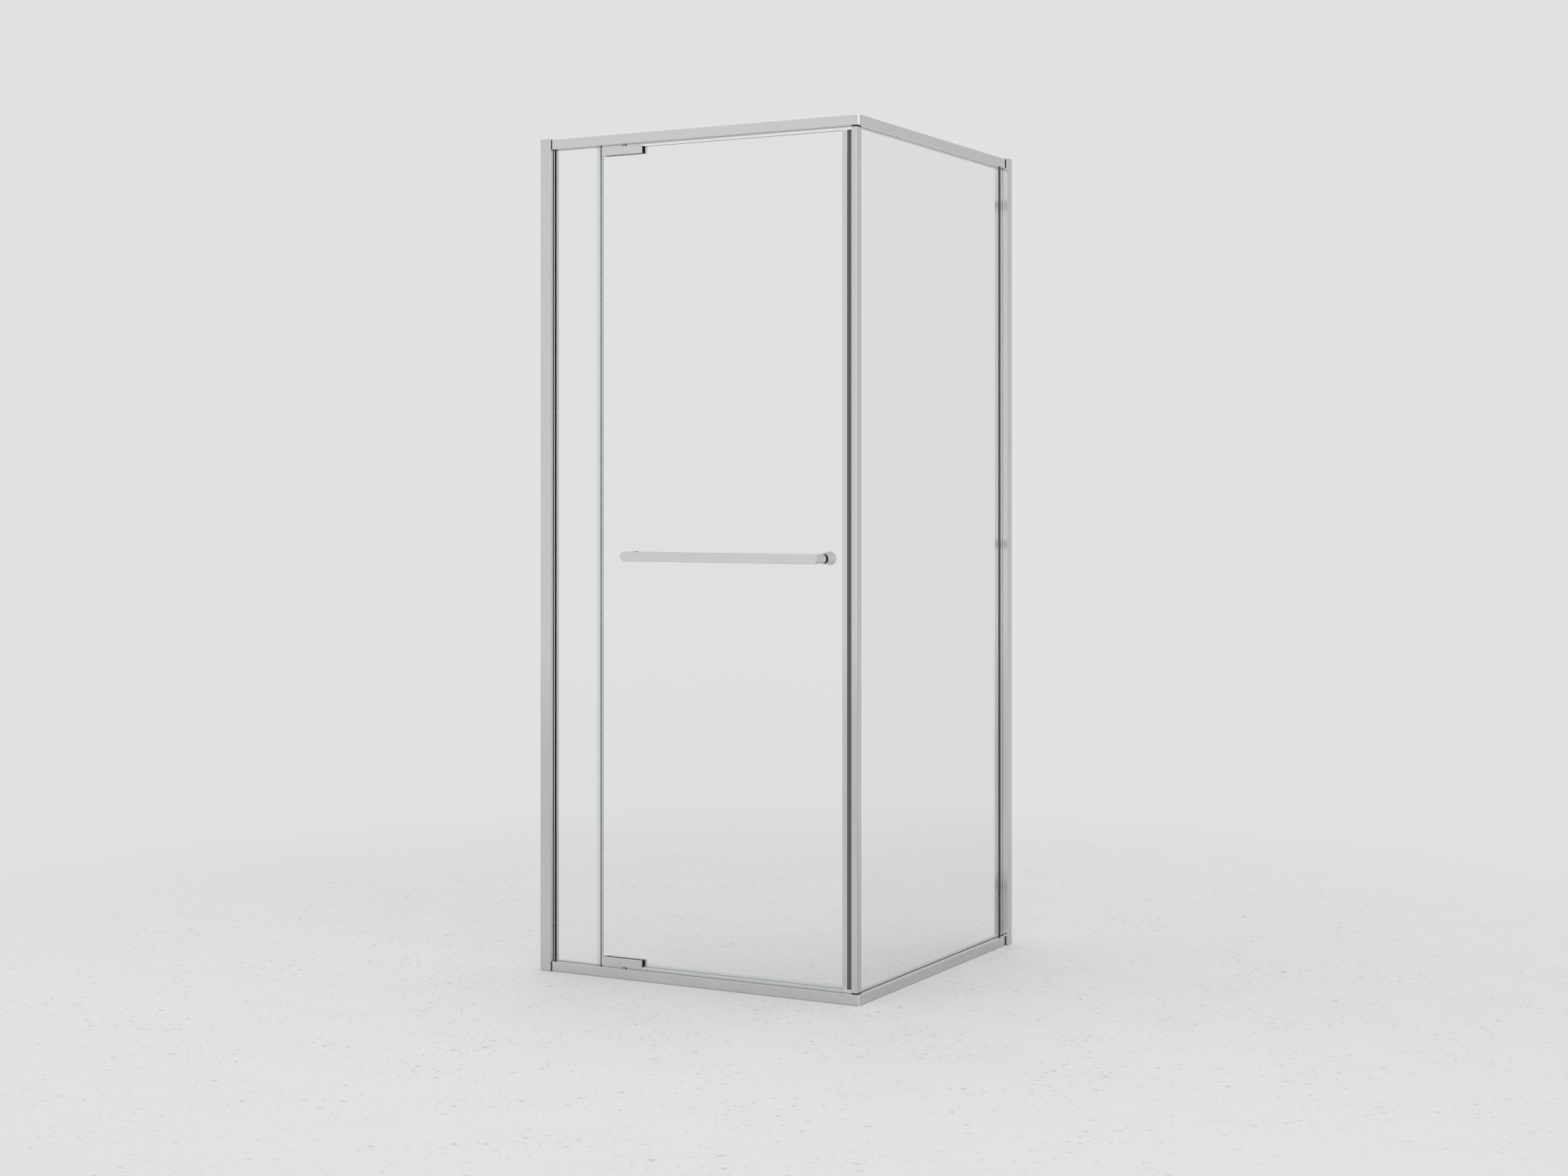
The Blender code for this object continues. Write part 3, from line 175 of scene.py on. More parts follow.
class EnclosureFinishes(PropertyGroup):
    """Colours and polish of the pieces."""

    aluminium: colour_property(
        "Aluminium", "Reflected colour of the polished rails, jambs and post", (0.775, 0.775, 0.783))
    aluminium_roughness: share_property(
        "Aluminium roughness", "Roughness of the polished extrusions", 0.055)
    # Painted shade: the jambs, post and stile take the rails' aluminium colour darkened by this share,
    # standing in for the dimmer surroundings that their faces mirror
    upright_painted_shade: share_property(
        "Upright shade", "Brightness of the jambs, post and stile beside the rails", 0.97)
    cut_metal: colour_property(
        "Cut metal", "Reflected colour of the filed flat on the rails' outer corner", (0.93, 0.93, 0.93))
    cut_roughness: share_property(
        "Cut roughness", "Roughness of the filed flat on the rails' outer corner", 0.34)
    chrome: colour_property("Chrome", "Reflected colour of the handle and the hinges", (0.78, 0.78, 0.788))
    chrome_roughness: share_property("Chrome roughness", "Roughness of the plated pieces", 0.06)
    steel: colour_property("Steel", "Reflected colour of screws, studs and pins", (0.60, 0.60, 0.61))
    steel_roughness: share_property("Steel roughness", "Roughness of screws, studs and pins", 0.24)
    glass_tint: colour_property(
        "Glass tint", "Light that one face of a pane lets through", (0.992, 0.994, 0.992))
    glass_edge: colour_property(
        "Glass edge", "Light that comes through the polished edges of the panes", (0.42, 0.52, 0.47))
    rubber: colour_property("Rubber", "Colour of gaskets, pads and end plugs", (0.007, 0.007, 0.008))
    magnet: colour_property(
        "Magnetic strips", "Colour down the middle of the two magnetic strips", (0.17, 0.17, 0.174))
    vinyl: colour_property("Clear vinyl", "Colour of the clear seals", (0.66, 0.69, 0.69))
    nylon: colour_property("Nylon", "Colour of the corner keys", (0.30, 0.30, 0.30))
    tape: colour_property(
        "Glazing tape", "Colour of the pale tapes and of the hinges' inner gaskets", (0.86, 0.86, 0.86))


class EnclosureStage(PropertyGroup):
    """Floor, background, lamps and camera."""

    backdrop: colour_property("Backdrop", "Colour behind the object", (0.755, 0.755, 0.770))
    mirrored: FloatProperty(
        name="Mirrored", description="Brightness of the surroundings that the metal mirrors", default=0.69)
    mirrored_swing: FloatProperty(
        name="Mirrored swing", description="How much brighter the surroundings are at the right front",
        default=0.15)
    floor: colour_property("Floor", "Colour of the floor", (0.765, 0.765, 0.75))
    # Painted shade: these shares darken the floor and the far backdrop only where the metal mirrors them
    floor_mirrored: FloatProperty(
        name="Floor mirrored", description="Share of the floor's colour that the metal mirrors", default=0.84)
    floor_behind: FloatProperty(
        name="Floor behind", description="The same share for the floor behind the front", default=0.75)
    far_mirrored: FloatProperty(
        name="Far floor mirrored", description="Share of the backdrop that the metal mirrors low down",
        default=0.83)
    floor_radius: length_property("Floor radius", "Radius of the floor", 14.0)
    fade_start: length_property(
        "Fade start", "Distance at which the floor begins to fade into the backdrop", 1.0)
    fade_end: length_property("Fade end", "Distance at which the floor has faded into the backdrop", 3.4)
    ambient: FloatProperty(
        name="Ambient", description="Strength of the light from all round", default=0.86)
    strip_power: FloatProperty(
        name="Strip power", description="Power of the high strip lamp at the right front", default=5.0,
        unit="POWER")
    top_power: FloatProperty(
        name="Top power", description="Power of the overhead lamp", default=30.0, unit="POWER")
    lens: FloatProperty(name="Lens", description="Focal length in millimetres", default=55.0)
    camera_place: FloatVectorProperty(
        name="Camera place", description="Place of the camera from the rails' outer corner",
        default=(2.41637, -4.79239, 1.14833), subtype="TRANSLATION", unit="LENGTH")
    camera_turn: FloatProperty(
        name="Camera turn", description="Turn of the level camera about the vertical",
        default=math.radians(28.55), unit="ROTATION")
    horizon_row: FloatProperty(
        name="Horizon row", description="Row of the photograph at the camera's height", default=696.0)


class Value:
    """A number that varies over a surface: the operators add Math nodes to its shader."""

    def __init__(self, shader, socket):
        self.shader = shader
        self.socket = socket

    def combine(self, operation, first, second):
        """Join two values with a Math node."""
        made = self.shader.node("ShaderNodeMath", {"operation": operation}, {0: first, 1: second})
        return Value(self.shader, made.outputs[0])

    def __add__(self, other):
        return self.combine("ADD", self, other)

    def __radd__(self, other):
        return self.combine("ADD", other, self)

    def __sub__(self, other):
        return self.combine("SUBTRACT", self, other)

    def __rsub__(self, other):
        return self.combine("SUBTRACT", other, self)

    def __mul__(self, other):
        return self.combine("MULTIPLY", self, other)

    def __rmul__(self, other):
        return self.combine("MULTIPLY", other, self)

    def __truediv__(self, other):
        return self.combine("DIVIDE", self, other)

    def __pow__(self, other):
        return self.combine("POWER", self, other)

    def at_most(self, other):
        return self.combine("MINIMUM", self, other)

    def at_least(self, other):
        return self.combine("MAXIMUM", self, other)


class Shader:
    """A node tree under construction, for a material or the world."""

    def __init__(self, owner):
        owner.use_nodes = True
        self.owner = owner
        self.tree = owner.node_tree
        self.tree.nodes.clear()
        self.links = self.tree.links

    def node(self, kind, settings=None, inputs=None):
        """Add a node: its settings first, then the values or links of its sockets."""
        made = self.tree.nodes.new(kind)
        for name, setting in (settings or {}).items():
            setattr(made, name, setting)
        for name, value in (inputs or {}).items():
            if isinstance(value, Value):
                value = value.socket
            if isinstance(value, bpy.types.NodeSocket):
                self.links.new(value, made.inputs[name])
            else:
                made.inputs[name].default_value = value
        return made

    def value(self, kind, settings=None, inputs=None, output=0):
        """Add a node and take one of its outputs as a value."""
        return Value(self, self.node(kind, settings, inputs).outputs[output])

    def noise(self, stretch, detail=2.0, rough=0.5):
        """Noise on Object coordinates, with its scale along each axis in cycles a metre."""
        place = self.node("ShaderNodeTexCoord").outputs["Object"]
        spread = self.node("ShaderNodeMapping", None, {"Vector": place, "Scale": stretch})
        return self.value("ShaderNodeTexNoise", None,
                          {"Vector": spread.outputs[0], "Scale": 1.0, "Detail": detail, "Roughness": rough})

    def blend(self, factor, first, second):
        """Mix two colours."""
        made = self.node("ShaderNodeMix", {"data_type": "RGBA"},
                         {"Factor": factor, "A": (*first, 1.0), "B": (*second, 1.0)})
        return made.outputs["Result"]

    def rise(self, value, start, end, kind="SMOOTHSTEP"):
        """A value that rises from 0 to 1 while another goes from start to end."""
        return self.value("ShaderNodeMapRange", {"interpolation_type": kind},
                          {"Value": value, "From Min": start, "From Max": end})

    def finish(self, surface):
        """Connect the last shader to the output."""
        owner_kind = "World" if isinstance(self.owner, bpy.types.World) else "Material"
        self.node(f"ShaderNodeOutput{owner_kind}", None, {"Surface": surface})
        return self.owner


def shade(colour, amount):
    """A colour made darker or lighter by a share."""
    return tuple(channel * amount for channel in colour)


def polished_metal(name, colour, roughness, axis=None):
    """Polished metal: faint drawing lines along an axis, a soft cloud of handling marks, and slight bloom."""
    shader = Shader(bpy.data.materials.new(name))
    across = 1400.0
    along = 6.0
    even = (260.0, 260.0, 260.0)
    stretch = tuple(along if key == axis else across for key in AXES) if axis else even
    lines = shader.noise(stretch, detail=3.0)
    cloud = shader.noise((9.0, 9.0, 9.0), detail=4.0, rough=0.6)
    marks = shader.noise((55.0, 55.0, 24.0), detail=5.0, rough=0.65)
    polish = roughness + (lines - 0.5) * 0.03 + (cloud - 0.5) * 0.03 + (marks - 0.5).at_least(0) * 0.10
    tone = shader.blend(cloud, shade(colour, 0.965), shade(colour, 1.02))
    bump = shader.node("ShaderNodeBump", None, {"Strength": 0.035, "Distance": 0.0002, "Height": lines})
    surface = shader.node("ShaderNodeBsdfPrincipled", None,
                          {"Base Color": tone, "Metallic": 1.0, "Roughness": polish,
                           "Normal": bump.outputs[0]})
    return shader.finish(surface.outputs[0])


def filed_metal(name, colour, roughness):
    """Bare metal with short level file marks, duller and paler than the polished faces beside it."""
    shader = Shader(bpy.data.materials.new(name))
    file_marks = shader.noise((60.0, 60.0, 2600.0), detail=3.0)
    cloud = shader.noise((40.0, 40.0, 40.0), detail=3.0)
    tone = shader.blend(cloud, shade(colour, 0.96), shade(colour, 1.03))
    bump = shader.node("ShaderNodeBump", None, {"Strength": 0.2, "Distance": 0.0001, "Height": file_marks})
    surface = shader.node("ShaderNodeBsdfPrincipled", None,
                          {"Base Color": tone, "Metallic": 1.0,
                           "Roughness": roughness + (file_marks - 0.5) * 0.2, "Normal": bump.outputs[0]})
    return shader.finish(surface.outputs[0])


def bending_glass(shader, tint, haze):
    """Glass that bends the view, with a share of hazy sheen; lamps shine straight through it."""
    bend = shader.node("ShaderNodeBsdfGlass", None,
                       {"Color": (*tint, 1.0), "Roughness": 0.0, "IOR": 1.5})
    sheen = shader.node("ShaderNodeBsdfGlossy", None, {"Color": (1.0, 1.0, 1.0, 1.0), "Roughness": 0.2})
    hazy = shader.node("ShaderNodeMixShader", None, {0: haze, 1: bend.outputs[0], 2: sheen.outputs[0]})
    straight = shader.node("ShaderNodeBsdfTransparent", None, {"Color": (*tint, 1.0)})
    shadow_ray = Value(shader, shader.node("ShaderNodeLightPath").outputs["Is Shadow Ray"])
    return shader.node("ShaderNodeMixShader", None,
                       {0: shadow_ray, 1: hazy.outputs[0], 2: straight.outputs[0]})


def clear_glass(name, tint):
    """Clear sheet glass with a trace of dried film in upright streaks."""
    shader = Shader(bpy.data.materials.new(name))
    film = shader.noise((3.0, 3.0, 1.4), detail=4.0, rough=0.6)
    streaks = shader.noise((46.0, 46.0, 2.5), detail=3.0)
    return shader.finish(bending_glass(shader, tint, film * streaks * 0.012).outputs[0])


def glass_edge(name, tint):
    """Polished edge of a pane: deep green, because the light there has run a long way in the sheet."""
    shader = Shader(bpy.data.materials.new(name))
    grind = shader.noise((900.0, 900.0, 300.0), detail=2.0)
    return shader.finish(bending_glass(shader, tint, 0.04 + grind * 0.06).outputs[0])


def clear_vinyl(name, colour):
    """Clear flexible vinyl: see-through, with a milky sheen and faint draw lines along its length."""
    shader = Shader(bpy.data.materials.new(name))
    facing = shader.value("ShaderNodeLayerWeight", None, {"Blend": 0.5}, output=1)
    cloud = shader.noise((24.0, 24.0, 5.0), detail=3.0)
    tone = shader.blend(cloud, shade(colour, 0.92), shade(colour, 1.06))
    body = shader.node("ShaderNodeBsdfPrincipled", None,
                       {"Base Color": tone, "Roughness": 0.18 + cloud * 0.14})
    through = shader.node("ShaderNodeBsdfTransparent", None, {"Color": (0.98, 0.985, 0.985, 1.0)})
    milk = 0.10 + facing ** 2 * 0.35 + (cloud - 0.5) * 0.06
    surface = shader.node("ShaderNodeMixShader", None, {0: milk, 1: through.outputs[0], 2: body.outputs[0]})
    return shader.finish(surface.outputs[0])


def moulded(name, colour, roughness, speckle, grain, gloss=0.5):
    """Rubber or plastic: an even colour with fine grain and a dusty cloud."""
    shader = Shader(bpy.data.materials.new(name))
    cloud = shader.noise((30.0, 30.0, 30.0), detail=4.0, rough=0.6)
    pores = shader.noise((grain,) * 3, detail=2.0)
    tone = shader.blend(cloud, shade(colour, 1 - speckle), shade(colour, 1 + speckle))
    bump = shader.node("ShaderNodeBump", None, {"Strength": 0.2, "Distance": 0.0001, "Height": pores})
    surface = shader.node("ShaderNodeBsdfPrincipled", None,
                          {"Base Color": tone, "Roughness": roughness + (pores - 0.5) * 0.2,
                           "Specular IOR Level": gloss, "Normal": bump.outputs[0]})
    return shader.finish(surface.outputs[0])


def magnet_sleeve(name, colour):
    """Sleeve of a magnetic strip: paler down the middle and darker towards both long edges."""
    shader = Shader(bpy.data.materials.new(name))
    low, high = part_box(name.replace("_sleeve", ""))
    place = shader.node("ShaderNodeTexCoord").outputs["Object"]
    centred = shader.node("ShaderNodeMapping", None,
                          {"Vector": place, "Location": (-(low.x + high.x) / 2, 0.0, 0.0)})
    split = shader.node("ShaderNodeSeparateXYZ", None, {0: centred.outputs[0]})
    across = shader.value("ShaderNodeMath", {"operation": "ABSOLUTE"}, {0: split.outputs[0]})
    # Darker towards both long edges of the strip
    darker_to_edges = ((across / (high.x - low.x) - 0.22) * 9).at_least(0).at_most(1)
    cloud = shader.noise((30.0, 30.0, 8.0), detail=4.0, rough=0.6)
    tone = shader.blend((darker_to_edges + (cloud - 0.5) * 0.2).at_least(0).at_most(1), colour, shade(colour, 0.65))
    surface = shader.node("ShaderNodeBsdfPrincipled", None,
                          {"Base Color": tone, "Roughness": 0.36 + cloud * 0.14})
    return shader.finish(surface.outputs[0])


def make_finish(name):
    """Make one of the object's materials from the colours that the user has set."""
    kit = bpy.context.scene.enclosure_finishes
    if name.startswith("aluminium_along_"):
        # Painted shade: the upright pieces get a darker copy of the rails' aluminium
        colour = shade(kit.aluminium, kit.upright_painted_shade) if name.endswith("Z") else kit.aluminium
        return polished_metal(name, colour, kit.aluminium_roughness, name[-1])
    makers = {
        "filed_aluminium": lambda: filed_metal(name, kit.cut_metal, kit.cut_roughness),
        "chrome_plate": lambda: polished_metal(name, kit.chrome, kit.chrome_roughness),
        "turned_steel": lambda: polished_metal(name, kit.steel, kit.steel_roughness),
        "sheet_glass": lambda: clear_glass(name, kit.glass_tint),
        "glass_edge": lambda: glass_edge(name, kit.glass_edge),
        "seal_vinyl": lambda: clear_vinyl(name, kit.vinyl),
        "gasket_rubber": lambda: moulded(name, kit.rubber, 0.52, 0.25, 2600.0, 0.15),
        "post_magnet_sleeve": lambda: magnet_sleeve(name, kit.magnet),
        "door_magnet_sleeve": lambda: magnet_sleeve(name, kit.magnet),
        "key_nylon": lambda: moulded(name, kit.nylon, 0.45, 0.08, 1500.0),
        "glazing_tape": lambda: moulded(name, kit.tape, 0.50, 0.06, 1500.0),
    }
    return makers[name]()


def finish_named(name):
    """Find a material, or make it the first time."""
    return bpy.data.materials.get(name) or make_finish(name)


def dress_node(node, finish):
    """Give a solid that stays in view its finished material."""
    for holder in frame["nodes"][node].material_slots:
        holder.material = finish_named(finish)


def at(run, along, inward, height=0.0):
    """Point that lies along a run and inward from its outer face, at a height."""
    if run == "front":
        return Vector((CORNER.x - along, CORNER.y + inward, height))
    return Vector((CORNER.x - inward, CORNER.y + along, height))


def make_piece(name, shape, body, finishes, replaces=()):
    """Turn a finished shape into a piece that rides on a body and stands for solids."""
    bmesh.ops.remove_doubles(shape, verts=shape.verts, dist=SAME_POINT)
    bmesh.ops.recalc_face_normals(shape, faces=shape.faces)
    mesh = bpy.data.meshes.new(name)
    shape.to_mesh(mesh)
    shape.free()
    for finish in finishes:
        mesh.materials.append(finish_named(finish))
    mesh.shade_smooth()
    mesh.set_sharp_from_angle(angle=SHARP_ANGLE)
    piece = bpy.data.objects.new(name, mesh)
    bpy.context.scene.collection.objects.link(piece)
    normals = piece.modifiers.new("Flat faces stay flat", "WEIGHTED_NORMAL")
    normals.keep_sharp = True
    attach(piece, body)
    if replaces:
        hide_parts(*replaces)


def round_edges(shape, edges, radius, segments):
    """Round some edges of a shape."""
    bmesh.ops.bevel(shape, geom=edges, offset=radius, offset_type="OFFSET", affect="EDGES",
                    segments=segments, profile=0.5, material=-1)


def draw_out(shape, grown, travel):
    """Move the points that an extrusion has made, and give them back."""
    moved = [item for item in grown["geom"] if isinstance(item, bmesh.types.BMVert)]
    bmesh.ops.translate(shape, vec=travel, verts=moved)
    return moved


def turned_size(node):
    """Radius and length of a round solid that lies along Y."""
    low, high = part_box(node)
    return (high.x - low.x) / 2, high.y - low.y


def brick(low, high):
    """A box between two corners."""
    shape = bmesh.new()
    bmesh.ops.create_cube(shape, size=1.0)
    bmesh.ops.scale(shape, vec=high - low, verts=shape.verts)
    bmesh.ops.translate(shape, vec=(low + high) / 2, verts=shape.verts)
    return shape


def prism(points, travel):
    """A flat outline extruded along a straight travel."""
    shape = bmesh.new()
    start = [shape.verts.new(point) for point in points]
    base = shape.faces.new(start)
    grown = bmesh.ops.extrude_face_region(shape, geom=[base], use_keep_orig=True)
    draw_out(shape, grown, travel)
    bmesh.ops.recalc_face_normals(shape, faces=shape.faces)
    return shape


def edges_through(shape, points, axis):
    """Edges parallel to an axis that pass through some points."""
    direction = AXES[axis]
    found = []
    for edge in shape.edges:
        first, second = (vert.co for vert in edge.verts)
        if (second - first).cross(direction).length > SAME_POINT:
            continue
        for point in points:
            if (point - first).cross(direction).length < ON_LINE:
                found.append(edge)
                break
    return found


def turn_profile(profile, start, direction, segments):
    """Spin a closed profile of (radius, distance) points about an axis that leaves a point."""
    shape = bmesh.new()
    rows = [shape.verts.new((radius, 0.0, distance)) for radius, distance in profile]
    links = []
    for index, row in enumerate(rows):
        following = rows[(index + 1) % len(rows)]
        if row.co.x or following.co.x:
            links.append(shape.edges.new((row, following)))
    bmesh.ops.spin(shape, geom=rows + links, cent=(0, 0, 0), axis=(0, 0, 1), angle=FULL_TURN,
                   steps=segments, use_merge=True, use_duplicate=False)
    bmesh.ops.remove_doubles(shape, verts=shape.verts, dist=SAME_POINT)
    bmesh.ops.recalc_face_normals(shape, faces=shape.faces)
    place = Matrix.Translation(start) @ Vector(direction).to_track_quat("Z", "Y").to_matrix().to_4x4()
    bmesh.ops.transform(shape, matrix=place, verts=shape.verts)
    return shape


def cut_off(shape, point, normal):
    """Cut away what lies beyond a plane and close the cut."""
    everything = shape.verts[:] + shape.edges[:] + shape.faces[:]
    cut = bmesh.ops.bisect_plane(shape, geom=everything, plane_co=point, plane_no=normal, clear_outer=True)
    rim = [item for item in cut["geom_cut"] if isinstance(item, bmesh.types.BMEdge)]
    if rim:
        bmesh.ops.edgeloop_fill(shape, edges=rim)


class ENCLOSURE_OT_rails(Operator):
    """Make the four mitred rails, the glazing tapes in them and the beads beside the pocket covers"""

    bl_idname = "enclosure.rails"
    bl_label = "Rails"

    def execute(self, context):
        sizes = context.scene.enclosure_sizes
        for level in ("sill", "top"):
            for run in ("front", "return"):
                self.make_rail(run, level, sizes)
                self.make_tape(run, level, "inner", sizes)
            self.make_bead(level, sizes)
            dress_node(f"{level}_pocket_cover", "aluminium_along_X")
            dress_node(f"corner_key_{level}", "key_nylon")
            for run in ("front", "return"):
                dress_node(f"{level}_end_plug_{run}", "gasket_rubber")
                dress_node(f"{level}_glazing_channel_{run}", "gasket_rubber")
        self.make_tape("return", "top", "outer", sizes)
        return {"FINISHED"}

    def make_rail(self, run, level, sizes):
        """Extrude a rail's section, round its long edges, cut its mitre and file its outer corner flat."""
        node = f"{level}_rail_{run}"
        low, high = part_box(node)
        channel_low, channel_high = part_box(f"{level}_glazing_channel_{run}")
        if run == "front":
            length = CORNER.x - low.x
            depth = high.y - CORNER.y
            pocket = (channel_low.y - CORNER.y, channel_high.y - CORNER.y)
        else:
            length = high.y - CORNER.y
            depth = CORNER.x - low.x
            pocket = (CORNER.x - channel_high.x, CORNER.x - channel_low.x)
        pocket = (pocket[0] - sizes.fit_gap, pocket[1] + sizes.fit_gap)
        outside, inside = (low.z, high.z) if level == "sill" else (high.z, low.z)
        floor = inside - math.copysign(sizes.rail_pocket_depth, inside - outside)
        section = [(0.0, outside), (depth, outside), (depth, inside), (pocket[1], inside), (pocket[1], floor),
                   (pocket[0], floor), (pocket[0], inside), (0.0, inside)]
        points = [at(run, -depth, inward, height) for inward, height in section]
        travel = at(run, length, 0.0) - at(run, -depth, 0.0)
        shape = prism(points, travel)
        outer = [points[index] for index in (0, 1, 2, 7)]
        lips = [points[index] for index in (3, 6)]
        axis = RUN_AXIS[run]
        round_edges(shape, edges_through(shape, outer, axis), sizes.rail_edge, sizes.edge_segments)
        round_edges(shape, edges_through(shape, lips, axis), sizes.rail_lip_edge, FINE_SEGMENTS)
        side = Vector((1, 1, 0)).normalized() if run == "front" else Vector((-1, -1, 0)).normalized()
        cut_off(shape, CORNER - side * sizes.mitre_gap, side)
        outwards = Vector((1, -1, 0)).normalized()
        cut_off(shape, CORNER - Vector((sizes.corner_cut, 0, 0)), outwards)
        for face in shape.faces:
            face.material_index = int(face.normal.dot(outwards) > FACING)
        make_piece(f"{level}_rail_{run}_finished", shape, "frame",
                   [f"aluminium_along_{axis}", "filed_aluminium"], [node])

    def make_tape(self, run, level, side, sizes):
        """Make the pale tape between one side of a fixed pane and its rail, level with the rail's face."""
        low, high = (corner.copy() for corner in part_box(f"{level}_glazing_channel_{run}"))
        rail_low, rail_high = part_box(f"{level}_rail_{run}")
        height = sizes.tape_height if side == "inner" else sizes.outer_tape_height
        if level == "sill":
            low.z, high.z = rail_high.z - height, rail_high.z
        else:
            low.z, high.z = rail_low.z, rail_low.z + height
        if run == "front":
            low.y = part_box("infill_glass")[1].y + sizes.fit_gap
        elif side == "inner":
            high.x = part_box("return_glass")[0].x - sizes.fit_gap
        else:
            low.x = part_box("return_glass")[1].x + sizes.fit_gap
        shape = brick(low, high)
        long_edges = [edge for edge in shape.edges if edge.calc_length() > sizes.tape_height * 2]
        round_edges(shape, long_edges, height / 9, FINE_SEGMENTS)
        make_piece(f"{level}_{side}_tape_{run}", shape, "frame", ["glazing_tape"])

    def make_bead(self, level, sizes):
        """Make the flat dark bead over the slot between the rail's outer lip and the pocket cover."""
        low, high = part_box(f"{level}_pocket_cover")
        bottom = high.z if level == "sill" else low.z - sizes.bead_height
        bead_low = Vector((low.x, low.y - sizes.fit_gap, bottom))
        bead_high = Vector((high.x, low.y + sizes.bead_width, bottom + sizes.bead_height))
        shape = brick(bead_low, bead_high)
        long_edges = edges_through(shape, [bead_low, bead_high], "X")
        round_edges(shape, long_edges, sizes.bead_height / 3, FINE_SEGMENTS)
        make_piece(f"{level}_cover_bead", shape, "frame", ["gasket_rubber"])


class ENCLOSURE_OT_uprights(Operator):
    """Finish the wall jambs, the corner post with its pads, the door's stile and the magnetic strips"""

    bl_idname = "enclosure.uprights"
    bl_label = "Uprights"

    def execute(self, context):
        for node in ("wall_jamb_front", "wall_jamb_return", "corner_post"):
            dress_node(node, "aluminium_along_Z")
        dress_node("door_stile", "aluminium_along_Z")
        for node in ("post_foot", "post_head", "jamb_glazing_channel_front", "jamb_glazing_channel_return"):
            dress_node(node, "gasket_rubber")
        for node in ("post_magnet", "door_magnet"):
            dress_node(node, f"{node}_sleeve")
        for node in ("post_glazing_strip", "infill_edge_seal", "door_drip_seal"):
            dress_node(node, "seal_vinyl")
        return {"FINISHED"}


class ENCLOSURE_OT_panes(Operator):
    """Make the three panes with polished edges, notches and handle holes"""

    bl_idname = "enclosure.panes"
    bl_label = "Panes"

    def execute(self, context):
        sizes = context.scene.enclosure_sizes
        self.make_pane("infill_glass", "frame", "Y", sizes)
        self.make_pane("return_glass", "frame", "X", sizes)
        self.make_pane("door_glass", "door", "Y", sizes, self.door_notches(sizes), self.door_holes(sizes))
        return {"FINISHED"}

    def door_notches(self, sizes):
        """Points of the door's two notches, lower one first, each with its corner radius."""
        low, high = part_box("door_glass")
        near = PIVOT.x - sizes.notch_half
        far = PIVOT.x + sizes.notch_half
        lower_end = low.z + sizes.notch_depth
        upper_end = high.z - sizes.notch_depth
        lower = [(near, low.z, 0), (near, lower_end, 1), (far, lower_end, 1), (far, low.z, 0)]
        upper = [(far, high.z, 0), (far, upper_end, 1), (near, upper_end, 1), (near, high.z, 0)]
        return lower, upper

    def door_holes(self, sizes):
        """Centres of the door's two handle holes."""
        centres = []
        for side in ("left", "right"):
            low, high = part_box(f"handle_post_{side}")
            centres.append(((low + high) / 2, sizes.handle_hole))
        return centres

    def make_pane(self, node, body, thin, sizes, notches=((), ()), holes=()):
        """Fill the outline with its holes, give it thickness and chamfer all its edges."""
        low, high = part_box(node)
        wide = "X" if thin == "Y" else "Y"
        across = AXES[wide]
        inset = sizes.arris
        start, end = low.dot(across), high.dot(across)
        lower, upper = notches
        flat = [(start, low.z, 0), *lower, (end, low.z, 0), (end, high.z, 0), *upper, (start, high.z, 0)]
        face_at = AXES[thin] * (low.dot(AXES[thin]) + inset)
        shape = bmesh.new()
        corners = [shape.verts.new(face_at + across * x + AXES["Z"] * z) for x, z, rounded in flat]
        shape.faces.new(corners)
        rounded = [vert for vert, corner in zip(corners, flat) if corner[2]]
        if rounded:
            bmesh.ops.bevel(shape, geom=rounded, offset=sizes.notch_radius, offset_type="OFFSET",
                            affect="VERTICES", segments=NOTCH_SEGMENTS, profile=0.5, material=-1)
        bmesh.ops.delete(shape, geom=shape.faces[:], context="FACES_ONLY")
        for centre, radius in holes:
            turn = Matrix.Rotation(QUARTER_TURN, 4, "X")
            spot = Vector((centre.x, face_at.y, centre.z))
            bmesh.ops.create_circle(shape, cap_ends=False, segments=sizes.turned_segments, radius=radius,
                                    matrix=Matrix.Translation(spot) @ turn)
        bmesh.ops.triangle_fill(shape, edges=shape.edges[:], use_beauty=True, normal=AXES[thin])
        grown = bmesh.ops.extrude_face_region(shape, geom=shape.faces[:] + shape.edges[:], use_keep_orig=True)
        thickness = (high - low).dot(AXES[thin]) - 2 * inset
        draw_out(shape, grown, AXES[thin] * thickness)
        bmesh.ops.recalc_face_normals(shape, faces=shape.faces)
        for facing in (1, -1):
            flats = [face for face in shape.faces if face.normal.dot(AXES[thin]) * facing > FACING]
            bmesh.ops.inset_region(shape, faces=flats, thickness=inset, depth=inset, use_boundary=True,
                                   use_even_offset=True)
        for face in shape.faces:
            face.material_index = 0 if abs(face.normal.dot(AXES[thin])) > FACING else 1
        make_piece(node.replace("glass", "pane"), shape, body, ["sheet_glass", "glass_edge"],
                   [node])


